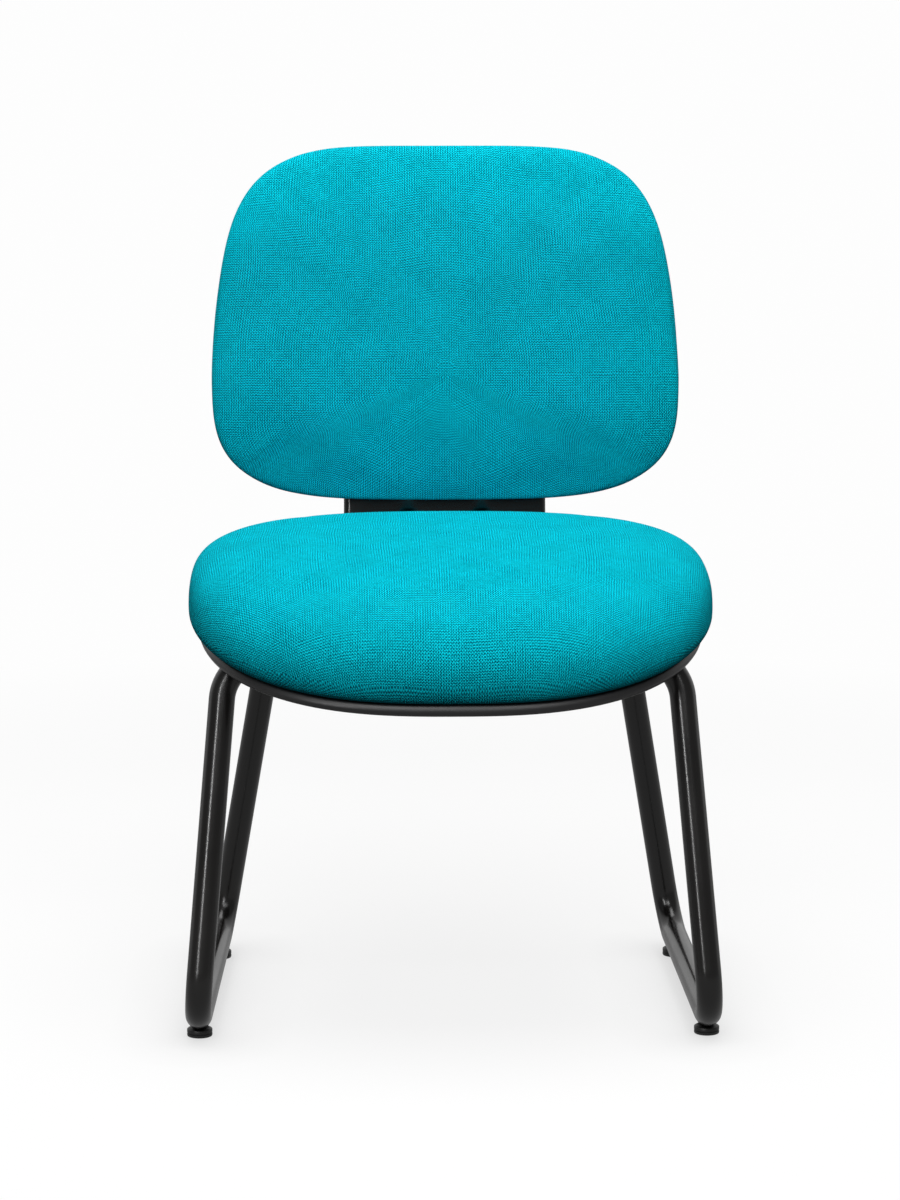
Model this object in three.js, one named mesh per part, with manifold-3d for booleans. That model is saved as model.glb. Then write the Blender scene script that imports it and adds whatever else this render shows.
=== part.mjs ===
// Sled base visitor chair: a bent tube frame, an upholstered seat and an upholstered back on a steel upright.
// Millimetres. +Z is up, a sitter faces -Y, and +X is on the right of someone who looks at the chair's front.
// Left and right in the names are as that person sees them.

import * as THREE from "three";
import { mergeVertices } from "three/addons/utils/BufferGeometryUtils.js";
import Module from "manifold-3d";

const wasm = await Module();
wasm.setup();

// Gaps and cutting tools
const clearance = 0.3;
const overrun = 12;

// Seat outline, measured from the seat's centre to the cushion's widest line
const seatHalfWidth = 257.5;
const seatFrontDepth = 243;
const seatRearDepth = 229;
const seatFrontPower = 2.72;
const seatRearPower = 3;

// Frame tube, and how far inside the seat's outline the corners of its centreline lie.
// An inset is measured from the seat's widest point and a setback from its front or rear edge.
const tubeDiameter = 25.4;
const tubeWall = 2;
const frontFootInset = 11;
const frontFootSetback = 28;
const rearFootInset = 24.5;
const rearFootSetback = 41;
const frontTopInset = 39;
const frontTopSetback = 133;
const rearTopInset = 82.5;
const rearTopSetback = 113;
const crossTubeHeight = 362;
const footBendRadius = 40;
const topBendRadius = 44;
const joiningSleeveLength = 90;

// Glides under the runners
const glideDiameter = 24.5;
const glideBase = 8.3;
const glideSaddleHeight = 8.9;
const glideEdge = 1;
const glideGrooveDepth = 0.8;
const glideGrooveLow = 3.4;
const glideGrooveHigh = 4.6;
const glideStemDiameter = 7.6;
const glideStemHeight = 9;

// Steel plate of the seat rails and the back upright
const plateThickness = 4;
const railWidth = 30;
const railGap = 6;
const railOverhang = 15;

// Seat pan
const panInset = 13;
const panFloor = 3;
const panBossHeight = 2;
const panBossDiameter = 24;
const panNotchDepth = 40;
const panSkirtDepth = 7.5;
const panSkirtWall = 3.2;
const panBandBulge = 1.6;
const panLipHeight = 2.6;
const panRibWidth = 2.4;
const panRibHeight = 3.8;
const panRibFromRail = 30;
const panRibFrontSetback = 113;
const panRibRearSetback = 99;

// Waterfall front of the seat
const fallStartSetback = 99;
const fallDrop = 48;
const fallPower = 2.75;
const flatPanShare = 0.76;
const topFallShare = 0.78;

// Upholstery
const coverThickness = 1.2;
const flapWidth = 22;
const seatBoardThickness = 12;
const seatBoardInset = 40;
const seatBulgeHeight = 14.5;
const seatCushionHeight = 83;
const seatTopPower = 3.6;

// Back outline, measured from its widest line
const backHalfWidth = 240.5;
const backTopHeight = 240;
const backBottomHeight = 131;
const backTopPower = 4.35;
const backBottomPower = 3.65;
const backTaperShare = 0.075;
const backRecline = THREE.MathUtils.degToRad(11);
const backBehindSeat = 53.5;
const backAboveTubes = 221.5;
const backFlatMargin = 7;
const backWingRise = 26;
const backSweepMargin = 28;
const backSweep = 12;
const backLumbarRise = 7;
const backLumbarHeight = -50;
const backLumbarSpread = 90;

// Back board, cushion and shell
const backBoardThickness = 10;
const backBoardInset = 24;
const backBulgeHeight = 31;
const backCushionHeight = 61;
const backTopEdgePower = 2.7;
const shellInset = 12;
const shellWall = 3;
const shellLipHeight = 12;
const shellCornerRadius = 4;

// Back upright
const uprightHalfWidth = 105;
const uprightFootHalfWidth = 84;
const uprightFootSetback = 177;
const uprightBendRadius = 38;
const uprightTopRise = 62;
const uprightCornerRadius = 26;
const uprightFlange = 12;
const topFlangeShare = 0.35;
const uprightEdgeRadius = 7;
const beadX = 38;
const beadHalfWidth = 11;
const beadDepth = 3;
const beadLead = 34;
const beadEnd = 8;

// Fasteners: button head screws, T-nuts in the boards and small cover screws
const boltDiameter = 8;
const boltHeadDiameter = 14;
const boltHeadHeight = 4.4;
const boltCrown = 1.6;
const boltPlay = 1;
const boltTipGap = 1.5;
const teeNutFlangeDiameter = 21;
const teeNutFlange = 1.6;
const teeNutBarrelDiameter = 11;
const teeNutBarrel = 8;
const railBoltFromTube = 38;
const footBoltX = 62;
const footBoltFromEdge = 24;
const footBoltSpacing = 82;
const backBoltX = 66;
const backBoltFromTop = 28;
const backBoltSpacing = 106;
const coverScrewDiameter = 3.5;
const coverScrewHeadDiameter = 8;
const coverScrewHeadHeight = 2.2;
const coverScrewLength = 11;
const panScrewAcrossShare = 0.72;
const panScrewFrontShare = 0.17;
const panScrewRearShare = 0.32;

// How finely curved things are divided
const outlineSamples = 720;
const outlinePoints = 32;
const tubeSides = 12;
const bendSteps = 5;
const domeRings = 7;
const bulgeRings = 2;
const roundSides = 8;
const uprightBendSteps = 7;

// Places that follow from the seat's outline
const frontFootX = seatHalfWidth - frontFootInset;
const frontFootY = frontFootSetback - seatFrontDepth;
const rearFootX = seatHalfWidth - rearFootInset;
const rearFootY = seatRearDepth - rearFootSetback;
const frontTopX = seatHalfWidth - frontTopInset;
const frontTopY = frontTopSetback - seatFrontDepth;
const rearTopX = seatHalfWidth - rearTopInset;
const rearTopY = seatRearDepth - rearTopSetback;
const panRibFrontY = panRibFrontSetback - seatFrontDepth;
const panRibRearY = seatRearDepth - panRibRearSetback;
const panScrewX = panScrewAcrossShare * (seatHalfWidth - panInset);
const panScrewY = [
  -panScrewFrontShare * (seatFrontDepth - panInset),
  panScrewRearShare * (seatRearDepth - panInset),
];
const fallStartY = seatRearDepth - fallStartSetback;
const fallLength = fallStartY + seatFrontDepth - panInset;
const uprightFootY = seatRearDepth - uprightFootSetback;
const backOriginY = seatRearDepth + backBehindSeat;

// Places that follow from the pieces they belong to
const railX = uprightFootHalfWidth + railGap + railWidth / 2;
const panRibX = railX + railWidth / 2 + panRibFromRail;
const railBoltY = [frontTopY + railBoltFromTube, rearTopY - railBoltFromTube];
const footBoltY = [uprightFootY + footBoltFromEdge, uprightFootY + footBoltFromEdge + footBoltSpacing];
const backBoltTop = uprightTopRise - backBoltFromTop;
const backBoltRise = [backBoltTop - backBoltSpacing, backBoltTop];
const backFlatHalfWidth = uprightHalfWidth + backFlatMargin;
const backSweepStart = uprightTopRise + backSweepMargin;

// Heights that stack up from the floor
const tubeRadius = tubeDiameter / 2;
const runnerHeight = glideBase + tubeRadius;
const railBottom = crossTubeHeight + tubeRadius + clearance;
const railTop = railBottom + plateThickness;
const panUnderside = railTop + clearance + panBossHeight;
const panTop = panUnderside + panFloor;
const seatFlapBottom = panTop + clearance;
const seatBoardBottom = seatFlapBottom + coverThickness + clearance;
const seatBoardTop = seatBoardBottom + seatBoardThickness;
const seatSeamInset = panInset + panSkirtWall + 2 * clearance;

// Depths that stack up from the back board's rear face, along the back's own normal
const backFlapRear = -clearance - coverThickness;
const shellFront = backFlapRear - clearance;
const shellRear = shellFront - shellWall;
const uprightFront = shellRear - clearance;
const backSeamInset = shellInset + shellWall + 2 * clearance;

// The two cushions: where each leaves its shell, where it is widest, its top and how square its edge is
const seatCushion = {
  seamInset: seatSeamInset,
  bottom: seatFlapBottom,
  seam: panTop + panLipHeight + clearance,
  bulge: seatFlapBottom + seatBulgeHeight,
  top: seatFlapBottom + seatCushionHeight,
  power: seatTopPower,
};

const backCushion = {
  seamInset: backSeamInset,
  bottom: backFlapRear,
  seam: shellLipHeight + clearance,
  bulge: backBulgeHeight,
  top: backCushionHeight,
  power: backTopEdgePower,
};

// Paints and cloths
function paint(color, roughness, metalness) {
  return new THREE.MeshStandardMaterial({ color, roughness, metalness });
}

const blackSteel = paint(0x202022, 0.35, 0.5);
const blackPlastic = paint(0x1c1c1d, 0.55, 0);
const tealCloth = paint(0x04a6bd, 0.95, 0);
const foamYellow = paint(0xe6dcb4, 0.9, 0);
const plywood = paint(0xc9a26b, 0.8, 0);
const zincSteel = paint(0xb9bcc0, 0.35, 0.9);
const blackScrew = paint(0x2a2a2c, 0.4, 0.8);

// A closed geometry as a solid that can be cut, and back again
function solid(geometry) {
  const bare = geometry.index ? geometry.clone() : mergeVertices(geometry);
  bare.deleteAttribute("normal");
  bare.deleteAttribute("uv");
  const merged = mergeVertices(bare);
  return new wasm.Manifold(
    new wasm.Mesh({
      numProp: 3,
      vertProperties: new Float32Array(merged.attributes.position.array),
      triVerts: new Uint32Array(merged.index.array),
    }),
  );
}

function geometryOf(body) {
  const mesh = body.getMesh();
  const positions = new Float32Array(mesh.numVert * 3);
  for (let i = 0; i < mesh.numVert; i++) {
    positions.set(mesh.vertProperties.subarray(i * mesh.numProp, i * mesh.numProp + 3), i * 3);
  }
  const geometry = new THREE.BufferGeometry();
  geometry.setAttribute("position", new THREE.BufferAttribute(positions, 3));
  geometry.setIndex(new THREE.BufferAttribute(new Uint32Array(mesh.triVerts), 1));
  geometry.computeVertexNormals();
  return geometry;
}

const cut = (body, ...tools) => tools.reduce((left, tool) => left.subtract(tool), body);

// An upright cylinder and box, given by their lower and upper faces
function post(radius, x, y, low, high, sides = roundSides) {
  const geometry = new THREE.CylinderGeometry(radius, radius, high - low, sides);
  return geometry.rotateX(Math.PI / 2).translate(x, y, (low + high) / 2);
}

function block(halfWidth, nearY, farY, low, high, x = 0) {
  const geometry = new THREE.BoxGeometry(2 * halfWidth, farY - nearY, high - low);
  return geometry.translate(x, (nearY + farY) / 2, (low + high) / 2);
}

// A body turned about Z from a profile of [radius, height] pairs that runs up its outside
function turned(profile, sides = roundSides) {
  const points = profile.map(([radius, height]) => new THREE.Vector2(radius, height));
  return new THREE.LatheGeometry(points, sides).rotateX(Math.PI / 2);
}

// A tube's centreline: straight runs between corners, each corner an arc of its own radius.
// Stations lie only where the tube bends, so a straight run costs one step.
class BentPath extends THREE.Curve {
  constructor(corners, radii, steps) {
    super();
    this.stations = [{ point: corners[0], tangent: corners[1].clone().sub(corners[0]).normalize() }];
    for (let i = 1; i < corners.length - 1; i++) {
      this.addBend(corners[i - 1], corners[i], corners[i + 1], radii[i - 1], steps);
    }
    const end = corners[corners.length - 1];
    const before = corners[corners.length - 2];
    this.stations.push({ point: end, tangent: end.clone().sub(before).normalize() });
  }

  addBend(from, corner, to, radius, steps) {
    const arriving = corner.clone().sub(from).normalize();
    const leaving = to.clone().sub(corner).normalize();
    const turn = arriving.angleTo(leaving);
    const start = corner.clone().addScaledVector(arriving, -radius * Math.tan(turn / 2));
    const inward = leaving.clone().addScaledVector(arriving, -leaving.dot(arriving)).normalize();
    const centre = start.clone().addScaledVector(inward, radius);
    for (let i = 0; i <= steps; i++) {
      const angle = (turn * i) / steps;
      const point = centre.clone();
      point.addScaledVector(inward, -radius * Math.cos(angle));
      point.addScaledVector(arriving, radius * Math.sin(angle));
      const tangent = arriving.clone().multiplyScalar(Math.cos(angle));
      tangent.addScaledVector(inward, Math.sin(angle));
      this.stations.push({ point, tangent });
    }
  }

  get steps() {
    return this.stations.length - 1;
  }

  station(t) {
    return this.stations[Math.round(t * this.steps)];
  }

  getPoint(t, target = new THREE.Vector3()) {
    return target.copy(this.station(t).point);
  }

  getPointAt(u, target = new THREE.Vector3()) {
    return this.getPoint(u, target);
  }

  getTangent(t, target = new THREE.Vector3()) {
    return target.copy(this.station(t).tangent);
  }

  getTangentAt(u, target = new THREE.Vector3()) {
    return this.getTangent(u, target);
  }
}

function sweepTube(path, outerRadius, innerRadius) {
  const section = new THREE.Shape().absarc(0, 0, outerRadius, 0, 2 * Math.PI);
  if (innerRadius > 0) {
    section.holes.push(new THREE.Path().absarc(0, 0, innerRadius, 0, 2 * Math.PI, true));
  }
  return new THREE.ExtrudeGeometry(section, {
    steps: path.steps,
    extrudePath: path,
    curveSegments: tubeSides / 2,
    bevelEnabled: false,
  });
}

// Outlines as unit points that rings scale: x by the half width, y by the depth on its own side.
// The points are closer together where the outline turns.
function spaced(curvePoint) {
  const loop = [];
  for (let i = 0; i <= outlineSamples; i++) {
    loop.push(new THREE.Vector2(...curvePoint((2 * Math.PI * i) / outlineSamples)));
  }
  const perimeter = loop.slice(1).reduce((sum, point, i) => sum + point.distanceTo(loop[i]), 0);
  const measures = [0];
  for (let i = 1; i <= outlineSamples; i++) {
    const arriving = loop[i].clone().sub(loop[i - 1]);
    const leaving = loop[(i % outlineSamples) + 1].clone().sub(loop[i % outlineSamples]);
    const turn = Math.abs(Math.atan2(arriving.cross(leaving), arriving.dot(leaving)));
    measures.push(measures[i - 1] + arriving.length() / perimeter + turn / (2 * Math.PI));
  }
  const step = measures[outlineSamples] / outlinePoints;
  const units = [];
  for (let i = 0; i < outlinePoints; i++) {
    const next = measures.findIndex((measure) => measure > i * step);
    const share = (i * step - measures[next - 1]) / (measures[next] - measures[next - 1]);
    const { x, y } = loop[next - 1].clone().lerp(loop[next], share);
    units.push([x, y]);
  }
  return units;
}

const powered = (value, power) => Math.sign(value) * Math.abs(value) ** (2 / power);

function seatUnit(angle) {
  const power = Math.sin(angle) > 0 ? seatRearPower : seatFrontPower;
  return [powered(Math.cos(angle), power), powered(Math.sin(angle), power)];
}

const seatOutline = {
  boardInset: seatBoardInset,
  halfWidth: seatHalfWidth,
  lower: seatFrontDepth,
  upper: seatRearDepth,
  units: spaced(seatUnit),
};

function backUnit(angle) {
  const power = Math.sin(angle) > 0 ? backTopPower : backBottomPower;
  const rise = powered(Math.sin(angle), power);
  const taper = 1 - backTaperShare * Math.max(rise, 0);
  return [taper * powered(Math.cos(angle), power), rise];
}

const backOutline = {
  boardInset: backBoardInset,
  halfWidth: backHalfWidth,
  lower: backBottomHeight,
  upper: backTopHeight,
  units: spaced(backUnit),
};

// A body made of rings: the profile gives each ring's share of the outline, its inset and its height,
// starts at the lower centre, runs out and up, and ends at the upper centre. place puts a point in space.
// Quads split the same way whether the profile runs out or in, so that nested faces stay parallel.
function ringBody(outline, profile, place) {
  const count = outline.units.length;
  const rings = profile.slice(1, -1);
  const points = [place(0, 0, profile[0].height)];
  for (const { share, inset, height } of rings) {
    for (const [ux, uy] of outline.units) {
      const depth = uy < 0 ? outline.lower : outline.upper;
      const x = ux * (outline.halfWidth - inset) * share;
      const y = uy * (depth - inset) * share;
      points.push(place(x, y, height));
    }
  }
  points.push(place(0, 0, profile[profile.length - 1].height));
  const faces = [];
  const at = (layer, i) => 1 + layer * count + (i % count);
  const reach = ({ share, inset }) => (outline.halfWidth - inset) * share;
  const last = points.length - 1;
  for (let i = 0; i < count; i++) {
    faces.push(0, at(0, i + 1), at(0, i));
    for (let near = 0; near < rings.length - 1; near++) {
      const far = near + 1;
      if (reach(rings[far]) >= reach(rings[near])) {
        faces.push(at(near, i), at(near, i + 1), at(far, i + 1));
        faces.push(at(near, i), at(far, i + 1), at(far, i));
      } else {
        faces.push(at(near, i), at(near, i + 1), at(far, i));
        faces.push(at(near, i + 1), at(far, i + 1), at(far, i));
      }
    }
    faces.push(at(rings.length - 1, i), at(rings.length - 1, i + 1), last);
  }
  const geometry = new THREE.BufferGeometry().setFromPoints(points);
  geometry.setIndex(faces);
  geometry.computeVertexNormals();
  return geometry;
}

const faceShares = [0.5, 0.74, 0.85, 0.93, 1];
const ring = (share, inset, height) => ({ share, inset, height });

// The rings of a sheet's face, from near the centre to the board's edge. Every layer shares them,
// so that the layers stay parallel where they curve.
function faceRings({ boardInset }, height) {
  return faceShares.map((share) => ring(share, boardInset, height));
}

function sheetProfile(outline, inset, low, high) {
  return [
    ring(0, inset, low),
    ...faceRings(outline, low).slice(0, -1),
    ring(1, inset, low),
    ring(1, inset, high),
    ...faceRings(outline, high).slice(0, -1).toReversed(),
    ring(0, inset, high),
  ];
}

// A cushion: it stands in its shell up to the seam, swells from there to its widest line
// and closes over the top. skin is how far this surface lies inside the cloth's outer face.
function cushionProfile(outline, { seamInset, seam, bulge, top, power }, skin, floor) {
  const profile = [ring(0, seamInset, floor), ...faceRings(outline, floor), ring(1, seamInset + skin, floor)];
  for (let i = 0; i < bulgeRings; i++) {
    const angle = (Math.PI / 2) * (1 - i / bulgeRings);
    const height = bulge - (bulge - seam - skin) * Math.sin(angle);
    profile.push(ring(1, seamInset * (1 - Math.cos(angle)) + skin, height));
  }
  for (let i = 0; i < domeRings; i++) {
    const angle = ((Math.PI / 2) * i) / domeRings;
    const share = powered(Math.cos(angle), power);
    profile.push(ring(share, skin, bulge + (top - skin - bulge) * powered(Math.sin(angle), power)));
  }
  profile.push(ring(0, skin, top - skin));
  return profile;
}

// Where a point of the seat goes. The seat falls away towards the front: the pan and the board,
// which are flat over the frame, only near their edge, and the cushion from its widest line up as one.
function seatShare(x, y) {
  const depth = (y < 0 ? seatFrontDepth : seatRearDepth) - panInset;
  const power = y < 0 ? seatFrontPower : seatRearPower;
  const across = Math.abs(x / (seatHalfWidth - panInset)) ** power;
  const along = Math.abs(y / depth) ** power;
  return (across + along) ** (1 / power);
}

function placeSeat(x, y, height) {
  const fall = fallDrop * Math.max((fallStartY - y) / fallLength, 0) ** fallPower;
  const edge = THREE.MathUtils.smoothstep(seatShare(x, y), flatPanShare, 1);
  const from = THREE.MathUtils.lerp(seatBoardTop, panTop, edge);
  const to = THREE.MathUtils.lerp(seatCushion.top, seatCushion.bulge, edge);
  const rise = THREE.MathUtils.clamp((height - from) / (to - from), 0, 1);
  return new THREE.Vector3(x, y, height - fall * THREE.MathUtils.lerp(edge, topFallShare, rise));
}

// Where a point of the back goes in the back's own frame: its wings come forward and its top sweeps rearward
function placeBack(x, rise, depth) {
  const beyond = Math.max(Math.abs(x) - backFlatHalfWidth, 0) / (backHalfWidth - backFlatHalfWidth);
  const sweep = Math.max(rise - backSweepStart, 0) / (backTopHeight - backSweepStart);
  const front = THREE.MathUtils.clamp(depth / backCushionHeight, 0, 1);
  const lumbar = Math.exp(-(((rise - backLumbarHeight) / backLumbarSpread) ** 2));
  const shift = backWingRise * beyond ** 2 - backSweep * sweep ** 2 + backLumbarRise * lumbar * front;
  return new THREE.Vector3(x, rise, depth + shift);
}

// Groups and pieces
const chair = new THREE.Group();
const back = new THREE.Group();
back.rotation.x = Math.PI / 2 - backRecline;
back.position.set(0, backOriginY, crossTubeHeight + backAboveTubes);
back.updateMatrixWorld(true);
chair.add(back);

function piece(name, geometry, material, parent = chair) {
  const mesh = new THREE.Mesh(geometry, material.clone());
  mesh.name = name;
  parent.add(mesh);
  return mesh;
}

// Frame: two mirrored half frames of bent tube that meet over a sleeve inside each cross tube
function framePath(side) {
  const gap = clearance / 2;
  return new BentPath(
    [
      new THREE.Vector3(side * gap, frontTopY, crossTubeHeight),
      new THREE.Vector3(side * frontTopX, frontTopY, crossTubeHeight),
      new THREE.Vector3(side * frontFootX, frontFootY, runnerHeight),
      new THREE.Vector3(side * rearFootX, rearFootY, runnerHeight),
      new THREE.Vector3(side * rearTopX, rearTopY, crossTubeHeight),
      new THREE.Vector3(side * gap, rearTopY, crossTubeHeight),
    ],
    [topBendRadius, footBendRadius, footBendRadius, topBendRadius],
    bendSteps,
  );
}

// The two ends of a runner's straight run, where the glides sit, and the way it points
function runnerSeats(side) {
  const { stations } = framePath(side);
  const bends = bendSteps + 1;
  const front = stations[2 * bends];
  const rear = stations[2 * bends + 1];
  const heading = Math.atan2(rear.point.y - front.point.y, rear.point.x - front.point.x) - Math.PI / 2;
  return { front: front.point, rear: rear.point, heading };
}

function halfFrame(side) {
  const seats = runnerSeats(side);
  const hole = glideStemDiameter / 2 + clearance;
  const holes = [seats.front, seats.rear].map(({ x, y }) => solid(post(hole, x, y, -overrun, runnerHeight)));
  const whole = solid(sweepTube(framePath(side), tubeRadius, tubeRadius - tubeWall));
  return geometryOf(cut(whole, ...holes));
}

function joiningSleeve(y) {
  const radius = (tubeRadius - tubeWall) * Math.cos(Math.PI / tubeSides) - clearance;
  const path = new BentPath(
    [
      new THREE.Vector3(-joiningSleeveLength / 2, y, crossTubeHeight),
      new THREE.Vector3(joiningSleeveLength / 2, y, crossTubeHeight),
    ],
    [],
    bendSteps,
  );
  return sweepTube(path, radius, radius - tubeWall);
}

function seatRail(x) {
  const half = railWidth / 2;
  const plan = new THREE.Shape();
  plan.absarc(x, rearTopY + railOverhang - half, half, 0, Math.PI);
  plan.absarc(x, frontTopY - railOverhang + half, half, Math.PI, 2 * Math.PI);
  for (const y of railBoltY) {
    plan.holes.push(new THREE.Path().absarc(x, y, (boltDiameter + boltPlay) / 2, 0, 2 * Math.PI, true));
  }
  const options = { depth: plateThickness, bevelEnabled: false, curveSegments: roundSides / 2 };
  return new THREE.ExtrudeGeometry(plan, options).translate(0, 0, railBottom);
}

function glide() {
  const radius = glideDiameter / 2;
  const disc = turned([
    [0, 0],
    [radius - glideEdge, 0],
    [radius, glideEdge],
    [radius, glideGrooveLow],
    [radius - glideGrooveDepth, glideGrooveLow],
    [radius - glideGrooveDepth, glideGrooveHigh],
    [radius, glideGrooveHigh],
    [radius, glideSaddleHeight],
    [0, glideSaddleHeight],
  ], 2 * roundSides);
  const runner = new THREE.CylinderGeometry(
    tubeRadius + clearance, tubeRadius + clearance, 2 * glideDiameter, 2 * tubeSides,
  ).translate(0, 0, runnerHeight);
  const stem = post(glideStemDiameter / 2, 0, 0, glideEdge, glideBase + glideStemHeight);
  return geometryOf(cut(solid(disc), solid(runner)).add(solid(stem)));
}

function buildFrame() {
  const sides = { left: -1, right: 1 };
  for (const [name, side] of Object.entries(sides)) {
    piece(`half_frame_${name}`, halfFrame(side), blackSteel);
    piece(`seat_rail_${name}`, seatRail(side * railX), blackSteel);
    const seats = runnerSeats(side);
    for (const end of ["front", "rear"]) {
      const foot = piece(`glide_${end}_${name}`, glide(), blackPlastic);
      foot.position.set(seats[end].x, seats[end].y, 0);
      foot.rotation.z = seats.heading;
    }
  }
  piece("joining_sleeve_front", joiningSleeve(frontTopY), zincSteel);
  piece("joining_sleeve_rear", joiningSleeve(rearTopY), zincSteel);
}

// Fasteners, modelled with their head's seat at height 0 and their shank upwards
function boltShape(length) {
  const head = boltHeadDiameter / 2;
  const shank = boltDiameter / 2;
  return turned([
    [0, -boltHeadHeight],
    [head - boltCrown, -boltHeadHeight],
    [head, -boltCrown],
    [head, 0],
    [shank, 0],
    [shank, length],
    [0, length],
  ]);
}

// A T-nut with its flange's outer face at height 0 and its barrel downwards
function teeNutShape() {
  const bore = boltDiameter / 2 + clearance;
  return turned([
    [bore, -teeNutFlange - teeNutBarrel],
    [teeNutBarrelDiameter / 2, -teeNutFlange - teeNutBarrel],
    [teeNutBarrelDiameter / 2, -teeNutFlange],
    [teeNutFlangeDiameter / 2, -teeNutFlange],
    [teeNutFlangeDiameter / 2, 0],
    [bore, 0],
    [bore, -teeNutFlange - teeNutBarrel],
  ]);
}

function coverScrewShape() {
  return turned([
    [0, -coverScrewHeadHeight],
    [coverScrewHeadDiameter / 2 - coverScrewHeadHeight / 2, -coverScrewHeadHeight],
    [coverScrewHeadDiameter / 2, 0],
    [coverScrewDiameter / 2, 0],
    [coverScrewDiameter / 2, coverScrewLength],
    [0, coverScrewLength],
  ]);
}

// The stepped hole that a T-nut and its bolt need in a board whose faces lie at low and high
function teeNutHole(x, y, low, high) {
  const barrel = solid(post(teeNutBarrelDiameter / 2 + clearance, x, y, low - overrun, high));
  const seat = high - teeNutFlange - clearance;
  const flange = solid(post(teeNutFlangeDiameter / 2 + clearance, x, y, seat, high + clearance));
  return barrel.add(flange);
}

function everyPair(xs, ys) {
  return ys.flatMap((y) => [-xs, xs].map((x) => [x, y]));
}

const railBolts = everyPair(railX, railBoltY);
const footBolts = everyPair(footBoltX, footBoltY);
const backBolts = everyPair(backBoltX, backBoltRise);
const panScrews = everyPair(panScrewX, panScrewY);

function cornerName([x, y], [lower, upper], [first]) {
  return `${y === first ? lower : upper}_${x < 0 ? "left" : "right"}`;
}

function buildSeatFasteners() {
  const nutTop = seatBoardTop - clearance;
  const seated = [
    [railBolts, railBottom - clearance, "seat", railBoltY],
    [footBolts, railBottom - clearance, "upright", footBoltY],
  ];
  for (const [places, seat, name, rows] of seated) {
    for (const [x, y] of places) {
      const corner = cornerName([x, y], ["front", "rear"], rows);
      const bolt = piece(`${name}_bolt_${corner}`, boltShape(seatBoardTop - boltTipGap - seat), blackScrew);
      bolt.position.set(x, y, seat);
      const nut = piece(`${name}_tee_nut_${corner}`, teeNutShape(), zincSteel);
      nut.position.set(x, y, nutTop);
    }
  }
  for (const [x, y] of panScrews) {
    const corner = cornerName([x, y], ["front", "rear"], panScrewY);
    const screw = piece(`pan_screw_${corner}`, coverScrewShape(), blackScrew);
    screw.position.set(x, y, panUnderside - clearance);
  }
}

// Seat
function seatPan() {
  const band = panUnderside - panSkirtDepth;
  const lip = panTop + panLipHeight;
  const inner = panInset + panSkirtWall;
  const profile = [
    ring(0, inner, panUnderside),
    ...faceRings(seatOutline, panUnderside),
    ring(1, inner, panUnderside),
    ring(1, inner, band),
    ring(1, panInset + panBandBulge / 2, band),
    ring(1, panInset - panBandBulge, (band + panUnderside) / 2),
    ring(1, panInset - panBandBulge / 2, panTop),
    ring(1, panInset, lip),
    ring(1, inner - panBandBulge / 2, lip),
    ring(1, inner, panTop),
    ...faceRings(seatOutline, panTop).toReversed(),
    ring(0, inner, panTop),
  ];
  const shell = solid(ringBody(seatOutline, profile, placeSeat));
  const ribLow = panUnderside - panRibHeight;
  const ribs = [-panRibX, panRibX].map((x) =>
    solid(block(panRibWidth / 2, panRibFrontY, panRibRearY, ribLow, panUnderside + panFloor / 2, x)),
  );
  const notchHalfWidth = uprightHalfWidth + 2 * clearance;
  const notchFrom = seatRearDepth - panInset - panNotchDepth;
  const notch = solid(block(notchHalfWidth, notchFrom, seatRearDepth, band - overrun, panUnderside));
  const boltRadius = (boltDiameter + boltPlay) / 2 + clearance;
  const holes = [...railBolts, ...footBolts].map(([x, y]) =>
    solid(post(boltRadius, x, y, panUnderside - overrun, panTop + overrun)),
  );
  const screwHoles = panScrews.map(([x, y]) =>
    solid(post(coverScrewDiameter / 2 + clearance, x, y, panUnderside - overrun, panTop + overrun)),
  );
  const bossLow = panUnderside - panBossHeight;
  const bosses = [...railBolts, ...footBolts].map(([x, y]) =>
    solid(post(panBossDiameter / 2, x, y, bossLow, panUnderside + panFloor / 2)),
  );
  const ribbed = [...ribs, ...bosses].reduce((body, extra) => body.add(extra), shell);
  return geometryOf(cut(ribbed, notch, ...holes, ...screwHoles));
}

function seatBoard() {
  const profile = sheetProfile(seatOutline, seatBoardInset, seatBoardBottom, seatBoardTop);
  const board = solid(ringBody(seatOutline, profile, placeSeat));
  const nutHoles = [...railBolts, ...footBolts].map(([x, y]) =>
    teeNutHole(x, y, seatBoardBottom, seatBoardTop),
  );
  const pilotRadius = coverScrewDiameter / 2 + clearance;
  const pilots = panScrews.map(([x, y]) =>
    solid(post(pilotRadius, x, y, seatBoardBottom - overrun, seatBoardTop - clearance)),
  );
  return geometryOf(cut(board, ...nutHoles, ...pilots));
}

// Foam that fills the cover and wraps the board's edge
function foam(outline, cushion, place, boardLow, boardHigh) {
  const skin = coverThickness + clearance;
  const body = solid(ringBody(outline, cushionProfile(outline, cushion, skin, boardLow), place));
  const inset = outline.boardInset - clearance;
  const pocket = sheetProfile(outline, inset, boardLow - overrun, boardHigh + clearance);
  return geometryOf(cut(body, solid(ringBody(outline, pocket, place))));
}

// The cloth cover: it wraps the foam and turns in under the board, where it is stapled
function cover(outline, cushion, place, boardLow) {
  const outside = solid(ringBody(outline, cushionProfile(outline, cushion, 0, cushion.bottom), place));
  const hollowFloor = boardLow - clearance;
  const inside = cushionProfile(outline, cushion, coverThickness, hollowFloor);
  const hollow = solid(ringBody(outline, inside, place));
  const inset = outline.boardInset + flapWidth;
  const opening = sheetProfile(outline, inset, cushion.bottom - overrun, boardLow + overrun);
  return geometryOf(cut(outside, hollow, solid(ringBody(outline, opening, place))));
}

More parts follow.
